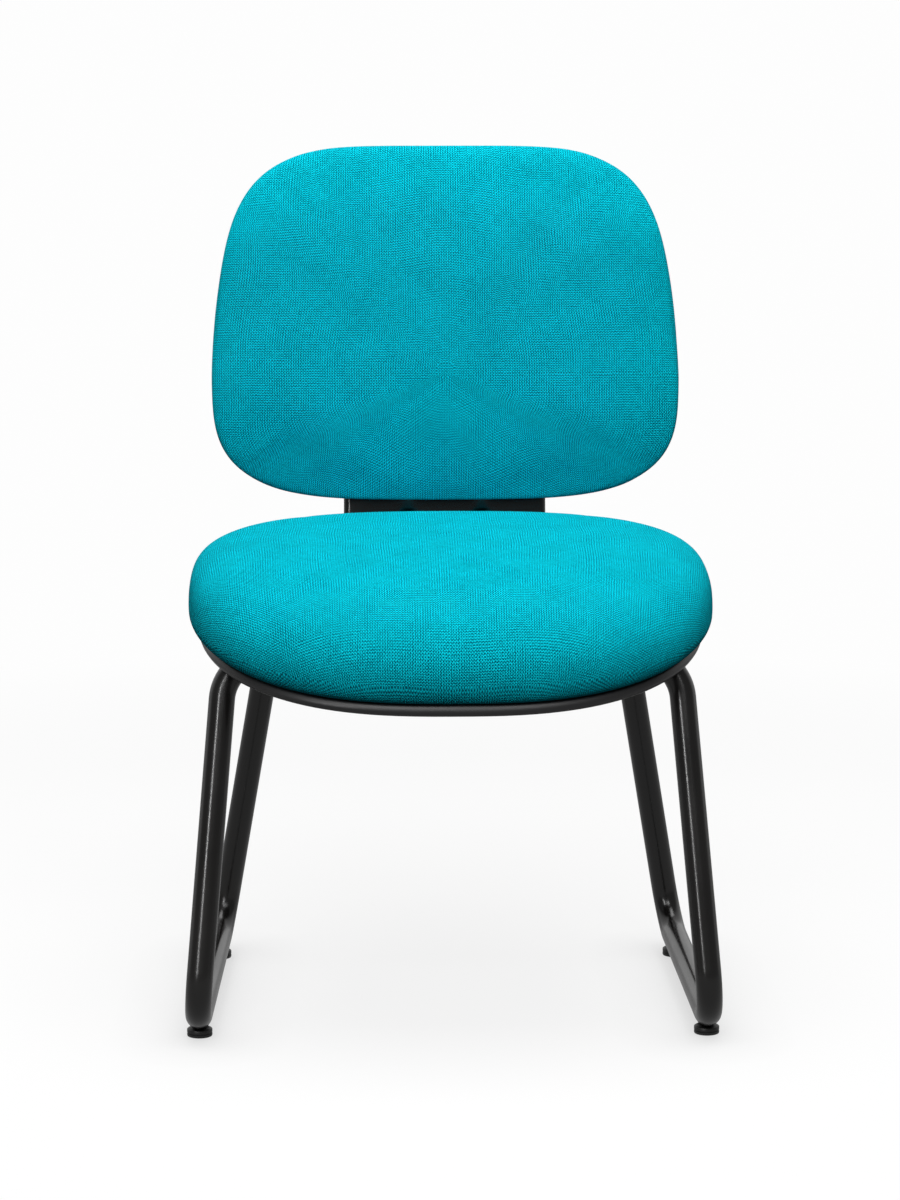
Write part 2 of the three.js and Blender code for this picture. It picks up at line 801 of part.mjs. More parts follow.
function buildSeat() {
  piece("seat_pan", seatPan(), blackPlastic);
  piece("seat_board", seatBoard(), plywood);
  piece(
    "seat_foam",
    foam(seatOutline, seatCushion, placeSeat, seatBoardBottom, seatBoardTop),
    foamYellow,
  );
  piece("seat_cover", cover(seatOutline, seatCushion, placeSeat, seatBoardBottom), tealCloth);
}

// Back upright: a plate that lies under the seat, turns up behind it and rises behind the back,
// with flanges that grow out of its edges in the bend and two beads pressed along the bend
function uprightPath() {
  const lean = new THREE.Vector3(0, Math.sin(backRecline), Math.cos(backRecline));
  const normal = new THREE.Vector3(0, -Math.cos(backRecline), Math.sin(backRecline));
  const plane = uprightFront - plateThickness / 2;
  const onBack = back.position.clone().addScaledVector(normal, plane);
  const footHeight = railBottom + plateThickness / 2;
  const corner = onBack.clone().addScaledVector(lean, (footHeight - onBack.z) / lean.z);
  const foot = new THREE.Vector3(0, uprightFootY, footHeight);
  const top = onBack.clone().addScaledVector(lean, uprightTopRise);
  return new BentPath([foot, corner, top], [uprightBendRadius], uprightBendSteps);
}

// Where the stations of a rounded corner lie, as shares of its quarter turn
const cornerShares = [0, 1 / 3, 2 / 3, 1];

// The upright's stations, each with its bead and flange as shares of their full depth
function uprightStations() {
  const { stations } = uprightPath();
  const [foot, bendStart] = stations;
  const [bendEnd, top] = stations.slice(-2);
  const station = (from, distance, bead, flange) => ({
    point: from.point.clone().addScaledVector(from.tangent, distance),
    tangent: from.tangent,
    bead,
    flange,
  });
  const inset = (share) => uprightCornerRadius * (1 - Math.sin((share * Math.PI) / 2));
  const bend = stations.slice(1, -1);
  return [
    ...cornerShares.toReversed().map((share) => station(foot, inset(share), 0, 0)),
    station(bendStart, -beadLead - beadEnd, 0, 0),
    station(bendStart, -beadLead, 1, 0),
    ...bend.map((at, i) => station(at, 0, 1, THREE.MathUtils.smoothstep(i, 0, uprightBendSteps))),
    station(bendEnd, beadLead, 1, 1),
    station(bendEnd, beadLead + beadEnd, 0, 1),
    station(top, -2 * uprightCornerRadius, 0, 1),
    ...cornerShares.map((share) => station(top, -inset(share), 0, topFlangeShare)),
  ];
}

// The upright's section: a front row of points and a rear row, each from the left edge to the right
function uprightSection(halfWidth, flange, bead) {
  const half = plateThickness / 2;
  const outer = uprightEdgeRadius;
  const inner = outer - plateThickness;
  const turn = 1 - Math.SQRT1_2;
  const tip = half + flange * uprightFlange;
  const edge = flange * outer - half;
  const beads = (depth) => [
    [beadX - beadHalfWidth, depth],
    [beadX, depth + bead * beadDepth],
    [beadX + beadHalfWidth, depth],
    [halfWidth - outer, depth],
  ];
  const front = [
    ...beads(-half),
    [halfWidth - outer * turn, flange * outer * turn - half],
    [halfWidth, edge],
    [halfWidth, (edge + tip) / 2],
  ];
  const rear = [
    ...beads(half),
    [halfWidth - plateThickness - inner * turn, half + flange * inner * turn],
    [halfWidth - plateThickness, tip],
    [halfWidth, tip],
  ];
  const row = (right) => [...right.map(([x, depth]) => [-x, depth]).toReversed(), ...right];
  return { front: row(front), rear: row(rear) };
}

function upright() {
  const stations = uprightStations();
  const lengths = [0];
  stations.slice(1).forEach(({ point }, i) => lengths.push(lengths[i] + point.distanceTo(stations[i].point)));
  const total = lengths[lengths.length - 1];
  const beadStation = cornerShares.length + 1;
  const widenFrom = lengths[beadStation];
  const widenTo = lengths[beadStation + 1 + uprightBendSteps];
  const points = [];
  stations.forEach(({ point, tangent, bead, flange }, i) => {
    const outward = new THREE.Vector3(0, tangent.z, -tangent.y);
    const beyond = Math.max(uprightCornerRadius - Math.min(lengths[i], total - lengths[i]), 0);
    const rounding = uprightCornerRadius - Math.sqrt(Math.max(uprightCornerRadius ** 2 - beyond ** 2, 0));
    const widening = THREE.MathUtils.smoothstep(lengths[i], widenFrom, widenTo);
    const halfWidth = THREE.MathUtils.lerp(uprightFootHalfWidth, uprightHalfWidth, widening) - rounding;
    const { front, rear } = uprightSection(halfWidth, flange, bead);
    for (const [x, depth] of [...front, ...rear.toReversed()]) {
      points.push(point.clone().addScaledVector(outward, depth).setX(x));
    }
  });
  return loft(points, stations.length);
}

// Joins equal closed sections in order along a path. Each has a front row and then a rear row
// that runs back, so that its two ends close with strips between the rows.
function loft(points, sections) {
  const count = points.length / sections;
  const faces = [];
  for (let s = 0; s < sections - 1; s++) {
    for (let i = 0; i < count; i++) {
      const a = s * count + i;
      const b = s * count + ((i + 1) % count);
      faces.push(a, b, b + count, a, b + count, a + count);
    }
  }
  const end = points.length - count;
  for (let i = 0; i < count / 2 - 1; i++) {
    const across = count - 1 - i;
    faces.push(i, across, across - 1, i, across - 1, i + 1);
    faces.push(end + i, end + across - 1, end + across, end + i, end + i + 1, end + across - 1);
  }
  const geometry = new THREE.BufferGeometry().setFromPoints(points);
  geometry.setIndex(faces);
  return geometry;
}

function buildUpright() {
  const radius = (boltDiameter + boltPlay) / 2;
  const footHoles = footBolts.map(([x, y]) =>
    solid(post(radius, x, y, railBottom - overrun, railTop + overrun)),
  );
  const backHoles = backBolts.map(([x, rise]) => {
    const hole = post(radius, x, rise, uprightFront - plateThickness - overrun, shellRear + overrun);
    return solid(hole.applyMatrix4(back.matrixWorld));
  });
  piece("back_upright", geometryOf(cut(solid(upright()), ...footHoles, ...backHoles)), blackSteel);
}

// Back
function backShell() {
  const inner = shellInset + shellWall;
  const turn = shellCornerRadius * (1 - Math.SQRT1_2);
  const profile = [
    ring(0, shellInset, shellRear),
    ...faceRings(backOutline, shellRear),
    ring(1, shellInset + shellCornerRadius, shellRear),
    ring(1, shellInset + turn, shellRear + turn),
    ring(1, shellInset, shellRear + shellCornerRadius),
    ring(1, shellInset, shellLipHeight),
    ring(1, inner, shellLipHeight),
    ring(1, inner, shellFront),
    ...faceRings(backOutline, shellFront).toReversed(),
    ring(0, inner, shellFront),
  ];
  const shell = solid(ringBody(backOutline, profile, placeBack));
  const boltRadius = (boltDiameter + boltPlay) / 2 + clearance;
  const holes = backBolts.map(([x, rise]) =>
    solid(post(boltRadius, x, rise, shellRear - overrun, shellFront + overrun)),
  );
  return geometryOf(cut(shell, ...holes));
}

function backBoard() {
  const profile = sheetProfile(backOutline, backBoardInset, 0, backBoardThickness);
  const board = solid(ringBody(backOutline, profile, placeBack));
  const nutHoles = backBolts.map(([x, rise]) => teeNutHole(x, rise, 0, backBoardThickness));
  return geometryOf(cut(board, ...nutHoles));
}

function buildBack() {
  piece("back_shell", backShell(), blackPlastic, back);
  piece("back_board", backBoard(), plywood, back);
  piece("back_foam", foam(backOutline, backCushion, placeBack, 0, backBoardThickness), foamYellow, back);
  piece("back_cover", cover(backOutline, backCushion, placeBack, 0), tealCloth, back);
  const seat = uprightFront - plateThickness - clearance;
  const length = backBoardThickness - boltTipGap - seat;
  for (const [x, rise] of backBolts) {
    const corner = cornerName([x, rise], ["lower", "upper"], backBoltRise);
    const bolt = piece(`back_bolt_${corner}`, boltShape(length), blackScrew, back);
    bolt.position.set(x, rise, seat);
    const nut = piece(`back_tee_nut_${corner}`, teeNutShape(), zincSteel, back);
    nut.position.set(x, rise, backBoardThickness - clearance);
  }
}

buildFrame();
buildSeat();
buildSeatFasteners();
buildUpright();
buildBack();

// The origin is on the floor, under the middle of the chair's length
const box = new THREE.Box3().setFromObject(chair);
chair.position.y = -(box.min.y + box.max.y) / 2;

export default chair;
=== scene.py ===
"""Sled base visitor chair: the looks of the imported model. +Z is up and a sitter faces -Y.

Sizes are in millimetres, as in the model's source, and places become metres when a mesh is made.
"""

import math

import bpy
import numpy as np
from mathutils import Matrix, Vector


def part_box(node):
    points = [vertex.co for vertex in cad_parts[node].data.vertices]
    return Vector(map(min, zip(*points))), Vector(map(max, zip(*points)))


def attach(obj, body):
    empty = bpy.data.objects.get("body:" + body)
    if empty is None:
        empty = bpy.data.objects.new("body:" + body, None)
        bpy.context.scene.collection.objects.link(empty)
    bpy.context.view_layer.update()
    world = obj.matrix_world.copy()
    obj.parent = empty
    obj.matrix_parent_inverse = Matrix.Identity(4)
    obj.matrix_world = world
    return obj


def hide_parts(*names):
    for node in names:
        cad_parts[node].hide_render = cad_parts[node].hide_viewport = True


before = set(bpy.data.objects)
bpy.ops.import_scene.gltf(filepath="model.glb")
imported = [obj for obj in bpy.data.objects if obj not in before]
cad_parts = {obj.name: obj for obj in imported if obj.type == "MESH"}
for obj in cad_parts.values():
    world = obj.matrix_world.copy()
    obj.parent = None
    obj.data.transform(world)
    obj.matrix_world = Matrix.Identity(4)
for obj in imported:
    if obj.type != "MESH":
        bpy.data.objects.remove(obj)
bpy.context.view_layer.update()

MM = 0.001
GAP = 0.3

# Seat outline and the waterfall front
SEAT_HALF_WIDTH = 257.5
SEAT_FRONT = 243
SEAT_REAR = 229
SEAT_FRONT_POWER = 2.72
SEAT_REAR_POWER = 3
PAN_INSET = 13
FALL_START_Y = 130
FALL_LENGTH = 360
FALL_DROP = 48
FALL_POWER = 2.75
FLAT_PAN_SHARE = 0.76
TOP_FALL_SHARE = 0.78
ROLL_HEIGHT = 46
ROLL_PULL = 0.036

# Frame tube: the corners of its centreline on the right side
TUBE_RADIUS = 12.7
TUBE_WALL = 2
CROSS_TUBE_HEIGHT = 362
GLIDE_BASE = 8.3
RUNNER_HEIGHT = GLIDE_BASE + TUBE_RADIUS
FRONT_FOOT = (246.5, -215)
REAR_FOOT = (233, 188)
FRONT_TOP = (218.5, -110)
REAR_TOP = (175, 116)
FOOT_BEND = 40
TOP_BEND = 44

# Plates, pan and boards
PLATE = 4
RAIL_WIDTH = 30
RAIL_X = 105
RAIL_OVERHANG = 15
RAIL_BOLT_FROM_TUBE = 38
RAIL_BOTTOM = CROSS_TUBE_HEIGHT + TUBE_RADIUS + GAP
RAIL_TOP = RAIL_BOTTOM + PLATE
PAN_BOSS = 2
PAN_BOSS_RADIUS = 12
PAN_FLOOR = 3
PAN_UNDERSIDE = RAIL_TOP + GAP + PAN_BOSS
PAN_TOP = PAN_UNDERSIDE + PAN_FLOOR
PAN_SKIRT = 7.5
PAN_WALL = 3.2
PAN_BULGE = 1.6
PAN_LIP = 0.4
PAN_NOTCH = 40
PAN_RIB_X = 150
PAN_RIB_FRONT = -130
PAN_RIB_REAR = 130
PAN_RIB_WIDTH = 2.4
PAN_RIB_HEIGHT = 3.8
COVER = 1.2
FLAP = 22
SEAT_FLAP_BOTTOM = PAN_TOP + GAP
SEAT_BOARD_BOTTOM = SEAT_FLAP_BOTTOM + COVER + GAP
SEAT_BOARD_TOP = SEAT_BOARD_BOTTOM + 12
SEAT_BOARD_INSET = 40

# Back outline and its curves
BACK_HALF_WIDTH = 240.5
BACK_TOP = 240
BACK_BOTTOM = 131
BACK_TOP_POWER = 4.35
BACK_BOTTOM_POWER = 3.65
BACK_TAPER = 0.075
RECLINE = math.radians(11)
BACK_ORIGIN_Y = 282.5
BACK_ORIGIN_HEIGHT = CROSS_TUBE_HEIGHT + 221.5
BACK_FLAT = 112
BACK_WING = 26
BACK_SWEEP_START = 90
BACK_SWEEP = 12
FOOT_START = 60
FOOT_RECEDE = 14
LUMBAR_RISE = 7
LUMBAR_HEIGHT = -50
LUMBAR_SPREAD = 90
BACK_CUSHION = 61
BACK_BOARD = 10
BACK_BOARD_INSET = 24
SHELL_INSET = 12
SHELL_WALL = 3
SHELL_LIP = 12
SHELL_CORNER = 4
BACK_FLAP_REAR = -GAP - COVER
SHELL_FRONT = BACK_FLAP_REAR - GAP
SHELL_REAR = SHELL_FRONT - SHELL_WALL
UPRIGHT_FRONT = SHELL_REAR - GAP

# Upright
UPRIGHT_HALF_WIDTH = 105
UPRIGHT_FOOT_HALF_WIDTH = 84
UPRIGHT_FOOT_Y = 52
UPRIGHT_BEND = 38
UPRIGHT_TOP = 62
UPRIGHT_CORNER = 26
UPRIGHT_FLANGE = 12
UPRIGHT_EDGE = 7
TOP_FLANGE_SHARE = 0.35
BEAD_X = 38
BEAD_HALF_WIDTH = 11
BEAD_DEPTH = 3
BEAD_LEAD = 34
BEAD_END = 8

# Fasteners
BOLT_RADIUS = 4
BOLT_HOLE = 4.5
BOLT_HEAD_RADIUS = 7
BOLT_HEAD_HEIGHT = 4.4
BOLT_TIP_GAP = 1.5
SCREW_HEAD_RADIUS = 4
SCREW_HEAD_HEIGHT = 2.2
SCREW_RADIUS = 1.75
SCREW_LENGTH = 11

# How finely curved things are divided
OUTLINE_POINTS = 144
SECTION_RINGS = 44
TUBE_SIDES = 32
BEND_STEPS = 18
ROUND_SIDES = 40

# The model's source centres the chair's length on the origin after it is built
SHIFT_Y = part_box("seat_cover")[0].y / MM + SEAT_FRONT


# Curves and outlines
def powered(value, power):
    return np.sign(value) * np.abs(value) ** (2 / power)


def spaced(points, count, closed):
    """How far along a fine line of points each of count points lies, closer where the line turns."""
    steps = np.diff(points, axis=0)
    lengths = np.linalg.norm(steps, axis=1)
    headings = np.unwrap(np.arctan2(steps[:, 1], steps[:, 0]))
    turns = np.abs(np.append(np.diff(headings), 0))
    measure = np.concatenate([[0], np.cumsum(lengths / lengths.sum() + turns / (2 * math.pi))])
    wanted = np.linspace(0, measure[-1], count, endpoint=not closed)
    return np.interp(wanted, measure, np.arange(len(points)))


def along(points, places):
    index = np.arange(len(points))
    return np.stack([np.interp(places, index, column) for column in np.asarray(points).T], axis=1)


def unit_outline(unit):
    fine = np.array([unit(angle) for angle in np.linspace(0, 2 * math.pi, 1441)])
    return along(fine, spaced(fine, OUTLINE_POINTS, True))


def seat_unit(angle):
    power = SEAT_REAR_POWER if math.sin(angle) > 0 else SEAT_FRONT_POWER
    return [powered(math.cos(angle), power), powered(math.sin(angle), power)]


def back_unit(angle):
    power = BACK_TOP_POWER if math.sin(angle) > 0 else BACK_BOTTOM_POWER
    rise = powered(math.sin(angle), power)
    return [(1 - BACK_TAPER * max(rise, 0)) * powered(math.cos(angle), power), rise]


def smoothstep(value, low, high):
    share = np.clip((value - low) / (high - low), 0, 1)
    return share * share * (3 - 2 * share)


def seat_share(x, y):
    """How far out a point of the seat lies, as a share of the pan's outline."""
    depth = np.where(y < 0, SEAT_FRONT, SEAT_REAR) - PAN_INSET
    power = np.where(y < 0, SEAT_FRONT_POWER, SEAT_REAR_POWER)
    across = np.abs(x / (SEAT_HALF_WIDTH - PAN_INSET)) ** power
    return (across + np.abs(y / depth) ** power) ** (1 / power)


def place_seat(x, y, height):
    """Where a point of the seat goes: the seat falls away towards the front."""
    fall = FALL_DROP * np.maximum((FALL_START_Y - y) / FALL_LENGTH, 0) ** FALL_POWER
    edge = smoothstep(seat_share(x, y), FLAT_PAN_SHARE, 1)
    low = SEAT_BOARD_TOP + (PAN_TOP - SEAT_BOARD_TOP) * edge
    high = SEAT["top"] + (SEAT["bulge"] - SEAT["top"]) * edge
    rise = np.clip((height - low) / (high - low), 0, 1)
    drop = fall * (edge + (TOP_FALL_SHARE - edge) * rise)
    return np.stack([x, y + SHIFT_Y, height - drop], axis=-1)


def place_seat_cloth(x, y, height):
    """The seat's cloth: above its widest line the roll leans back, most of all at the front."""
    up = smoothstep(height, SEAT["bulge"], SEAT["bulge"] + ROLL_HEIGHT)
    pull = ROLL_PULL * up * smoothstep(-y / SEAT_FRONT, 0.1, 0.8)
    return place_seat(x, y, height) - np.stack([x, y, 0 * y], axis=-1) * pull[..., None]


LEAN = np.array([0, math.sin(RECLINE), math.cos(RECLINE)])
FACING = np.array([0, -math.cos(RECLINE), math.sin(RECLINE)])
BACK_ORIGIN = np.array([0, BACK_ORIGIN_Y + SHIFT_Y, BACK_ORIGIN_HEIGHT])


def on_back(x, rise, depth):
    """A point in the back's own frame, as a point of the chair."""
    x, rise, depth = np.broadcast_arrays(x, rise, depth)
    return BACK_ORIGIN + x[..., None] * [1, 0, 0] + rise[..., None] * LEAN + depth[..., None] * FACING


def place_back(x, rise, depth):
    """Where a point of the back goes: its wings come forward and its top sweeps rearward."""
    beyond = np.maximum(np.abs(x) - BACK_FLAT, 0) / (BACK_HALF_WIDTH - BACK_FLAT)
    sweep = np.maximum(rise - BACK_SWEEP_START, 0) / (BACK_TOP - BACK_SWEEP_START)
    front = np.clip(depth / BACK_CUSHION, 0, 1)
    lumbar = np.exp(-(((rise - LUMBAR_HEIGHT) / LUMBAR_SPREAD) ** 2))
    shift = BACK_WING * beyond**2 - BACK_SWEEP * sweep**2 + LUMBAR_RISE * lumbar * front
    return on_back(x, rise, depth + shift)


def place_back_cloth(x, rise, depth):
    """The back's cloth: its front recedes towards the foot."""
    front = smoothstep(depth, BACK["bulge"], BACK_CUSHION)
    foot = np.clip((FOOT_START - rise) / (FOOT_START + BACK_BOTTOM), 0, 1)
    return place_back(x, rise, depth - FOOT_RECEDE * front * foot**2)


SEAT = {
    "units": unit_outline(seat_unit),
    "half_width": SEAT_HALF_WIDTH,
    "lower": SEAT_FRONT,
    "upper": SEAT_REAR,
    "place": place_seat,
    "place_cloth": place_seat_cloth,
    "board_inset": SEAT_BOARD_INSET,
    "board_low": SEAT_BOARD_BOTTOM,
    "board_high": SEAT_BOARD_TOP,
    "seam_inset": PAN_INSET + PAN_WALL + 2 * GAP,
    "bottom": SEAT_FLAP_BOTTOM,
    "seam": PAN_TOP + PAN_LIP + GAP,
    "bulge": SEAT_FLAP_BOTTOM + 14.5,
    "top": SEAT_FLAP_BOTTOM + 83,
    "power": 3.6,
}
BACK = {
    "units": unit_outline(back_unit),
    "half_width": BACK_HALF_WIDTH,
    "lower": BACK_BOTTOM,
    "upper": BACK_TOP,
    "place": place_back,
    "place_cloth": place_back_cloth,
    "board_inset": BACK_BOARD_INSET,
    "board_low": 0,
    "board_high": BACK_BOARD,
    "seam_inset": SHELL_INSET + SHELL_WALL + 2 * GAP,
    "bottom": BACK_FLAP_REAR,
    "seam": SHELL_LIP + GAP,
    "bulge": 31,
    "top": BACK_CUSHION,
    "power": 2.7,
}


# Meshes
def new_piece(name, points, faces, material, smooth_angle=40):
    """A piece of the object, made from points in millimetres."""
    mesh = bpy.data.meshes.new(name)
    mesh.from_pydata((np.asarray(points) * MM).tolist(), [], faces)
    mesh.validate()
    mesh.shade_smooth()
    mesh.set_sharp_from_angle(angle=math.radians(smooth_angle))
    piece = bpy.data.objects.new(name, mesh)
    bpy.context.scene.collection.objects.link(piece)
    mesh.materials.append(material)
    return piece


def ring_faces(rings, count):
    """Quads between closed rings of points, and a fan at each end: the first and last points are poles."""
    faces = []
    last = 1 + rings * count
    for i in range(count):
        j = (i + 1) % count
        faces.append((0, 1 + j, 1 + i))
        for ring in range(rings - 1):
            low, high = 1 + ring * count, 1 + (ring + 1) * count
            faces.append((low + i, low + j, high + j, high + i))
        faces.append((last - count + i, last - count + j, last))
    return faces


def ring_points(form, profile):
    """The points of a body made of rings. Each ring has its share of the outline, its inset and its height."""
    shares, insets, heights = np.asarray(profile, float).T[:, 1:-1, None]
    ux, uy = form["units"].T
    depths = np.where(uy < 0, form["lower"], form["upper"])
    x = ux * (form["half_width"] - insets) * shares
    y = uy * (depths - insets) * shares
    rings = form["place"](x, y, heights + 0 * x)
    ends = form["place"](np.zeros(2), np.zeros(2), np.array([profile[0][2], profile[-1][2]]))
    return rings, ends


def ring_piece(name, form, profile, material):
    rings, ends = ring_points(form, profile)
    points = np.vstack([ends[:1], rings.reshape(-1, 3), ends[1:]])
    return new_piece(name, points, ring_faces(len(rings), OUTLINE_POINTS), material)


FACE_SHARES = [0.1, 0.3, 0.5, 0.74, 0.85, 0.93]
CROWN_SHRINK = 2
CROWN_RING_SHARES = (0.75, 0.53, 0.35, 0.2, 0.09)


def face_rings(form, height):
    return [(share, form["board_inset"], height) for share in FACE_SHARES + [1]]


def sheet_profile(form, inset, low, high):
    low_face = [(share, inset, low) for share in FACE_SHARES + [1]]
    high_face = [(share, inset, high) for share in FACE_SHARES + [1]]
    return [(0, inset, low), *low_face, *reversed(high_face), (0, inset, high)]


def fine_skin(form, shrink):
    """The cushion's outer section from its seam to the centre of its top, as evenly spaced rings."""
    seam, bulge, top = form["seam"], form["bulge"], form["top"] - CROWN_SHRINK * shrink
    quarter = np.linspace(0, math.pi / 2, 400)
    rounding = form["seam_inset"] * (1 - np.sin(quarter)) + shrink
    under = [(1, inset, bulge - (bulge - seam) * math.cos(a)) for inset, a in zip(rounding, quarter)]
    dome = [
        (powered(math.cos(a), form["power"]), shrink, bulge + (top - bulge) * powered(math.sin(a), form["power"]))
        for a in quarter
    ]
    fine = np.array(under + dome[1:])
    section = np.stack([fine[:, 0] * (form["half_width"] - fine[:, 1]), fine[:, 2]], axis=1)
    rings = along(fine, spaced(section, SECTION_RINGS, False))
    # Ever smaller rings round the middle keep the fan of faces there too small to see
    close = [rings[-1] + share * (rings[-2] - rings[-1]) for share in CROWN_RING_SHARES]
    return [tuple(ring) for ring in [*rings[:-1], *close, rings[-1]]]


def loft_faces(sections, count):
    """Quads between sections of a front row and a rear row that runs back, closed by strips at both ends."""
    faces = []
    for s in range(sections - 1):
        for i in range(count):
            a, b = s * count + i, s * count + (i + 1) % count
            faces.append((a, b, b + count, a + count))
    end = (sections - 1) * count
    for i in range(count // 2 - 1):
        across = count - 1 - i
        faces.append((i, across, across - 1, i + 1))
        faces.append((end + i, end + i + 1, end + across - 1, end + across))
    return faces


def turned_piece(name, profile, material, place, sides=ROUND_SIDES):
    """A body turned about its axis from pairs of radius and height, moved by place, a matrix in millimetres."""
    angles = np.linspace(0, 2 * math.pi, sides, endpoint=False)
    rings = [[(r * math.cos(a), r * math.sin(a), h) for a in angles] for r, h in profile[1:-1]]
    points = [(0, 0, profile[0][1]), *[p for ring in rings for p in ring], (0, 0, profile[-1][1])]
    points = [place @ Vector(p) for p in points]
    return new_piece(name, points, ring_faces(len(rings), sides), material)


def cylinder_mesh(radius, low, high, place, sides=ROUND_SIDES):
    angles = np.linspace(0, 2 * math.pi, sides, endpoint=False)
    ring = [(radius * math.cos(a), radius * math.sin(a)) for a in angles]
    points = [place @ Vector((*p, z)) for z in (low, high) for p in ring]
    faces = [(i, (i + 1) % sides, (i + 1) % sides + sides, i + sides) for i in range(sides)]
    faces += [tuple(reversed(range(sides))), tuple(range(sides, 2 * sides))]
    return points, faces


def box_mesh(low, high):
    corners = [(x, y, z) for x in (low[0], high[0]) for y in (low[1], high[1]) for z in (low[2], high[2])]
    faces = [(0, 1, 3, 2), (4, 6, 7, 5), (0, 4, 5, 1), (2, 3, 7, 6), (0, 2, 6, 4), (1, 5, 7, 3)]
    return corners, faces


def carve(piece, parts, operation="DIFFERENCE"):
    """Cuts closed meshes out of a piece, or joins them to it."""
    points, faces = [], []
    for part_points, part_faces in parts:
        faces += [tuple(i + len(points) for i in face) for face in part_faces]
        points += [tuple(p) for p in part_points]
    tool = new_piece("tool", points, faces, piece.data.materials[0])
    modifier = piece.modifiers.new("carve", "BOOLEAN")
    modifier.operation = operation
    modifier.object = tool
    modifier.solver = "EXACT"
    modifier.use_self = True
    apply_modifiers(piece)
    bpy.data.objects.remove(tool)
    piece.data.set_sharp_from_angle(angle=math.radians(40))
    return piece


def apply_modifiers(piece):
    depsgraph = bpy.context.evaluated_depsgraph_get()
    mesh = bpy.data.meshes.new_from_object(piece.evaluated_get(depsgraph))
    piece.modifiers.clear()
    piece.data = mesh


def soften_edges(piece, width, segments=2, angle=45):
    """Small rounded edges that catch the light, as on a real part."""
    bevel = piece.modifiers.new("edges", "BEVEL")
    bevel.width = width * MM
    bevel.segments = segments
    bevel.limit_method = "ANGLE"
    bevel.angle_limit = math.radians(angle)
    bevel.harden_normals = True
    bevel.use_clamp_overlap = True


def stands_for(piece, slot, *nodes):
    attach(piece, "root")
    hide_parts(*nodes)
    return piece


def at(x, y, height):
    return Matrix.Translation((x, y + SHIFT_Y, height))


def at_back(x, rise, depth):
    """A place on the back whose own +Z points out of the back's front."""
    turn = Matrix((np.array([[1, 0, 0], LEAN, FACING]).T).tolist()).to_4x4()
    return Matrix.Translation(on_back(x, rise, depth).tolist()) @ turn


# Materials
class Shader:
    """The nodes of a material or a world, added and joined by short calls."""

    def __init__(self, name, world=None):
        self.material = world or bpy.data.materials.new(name)
        self.material.use_nodes = True
        self.tree = self.material.node_tree
        self.surface = self.tree.nodes["Background" if world else "Principled BSDF"]

    def add(self, kind, **inputs):
        node = self.tree.nodes.new("ShaderNode" + kind)
        for key, value in inputs.items():
            self.give(node, key, value)
        return node

    def give(self, node, key, value):
        if hasattr(node, key) and key not in node.inputs:
            setattr(node, key, value)
            return
        socket = node.inputs[int(key[1:])] if key[0] == "i" and key[1:].isdigit() else node.inputs[key]
        if isinstance(value, bpy.types.NodeSocket):
            self.tree.links.new(value, socket)
        else:
            socket.default_value = value

    def maths(self, operation, first, second=0.0, third=0.0):
        node = self.tree.nodes.new("ShaderNodeMath")
        node.operation = operation
        for i, value in enumerate((first, second, third)):
            self.give(node, f"i{i}", value)
        return node.outputs[0]

    def noise(self, vector, scale, detail=2.0, roughness=0.5):
        node = self.add("TexNoise", Vector=vector, Scale=scale, Detail=detail, Roughness=roughness)
        return node.outputs["Fac"]

    def stretch(self, vector, scale):
        node = self.add("Mapping", Vector=vector, Scale=scale)
        return node.outputs["Vector"]

    def blend(self, factor, first, second):
        node = self.add("Mix")
        node.data_type = "RGBA"
        for socket, value in zip((node.inputs[0], node.inputs[6], node.inputs[7]), (factor, first, second)):
            if isinstance(value, bpy.types.NodeSocket):
                self.tree.links.new(value, socket)
            else:
                socket.default_value = value
        return node.outputs[2]

    def spread(self, value, low, high, to_low=0.0, to_high=1.0):
        node = self.tree.nodes.new("ShaderNodeMapRange")
        for i, item in enumerate((value, low, high, to_low, to_high)):
            self.give(node, f"i{i}", item)
        return node.outputs[0]

    def place(self):
        return self.add("TexCoord").outputs["Object"]

    def bump(self, height, distance, strength=1.0):
        node = self.add("Bump", Height=height, Distance=distance, Strength=strength)
        return node.outputs["Normal"]

    def finish(self, **inputs):
        for key, value in inputs.items():
            self.give(self.surface, key.replace("_", " "), value)
        return self.material


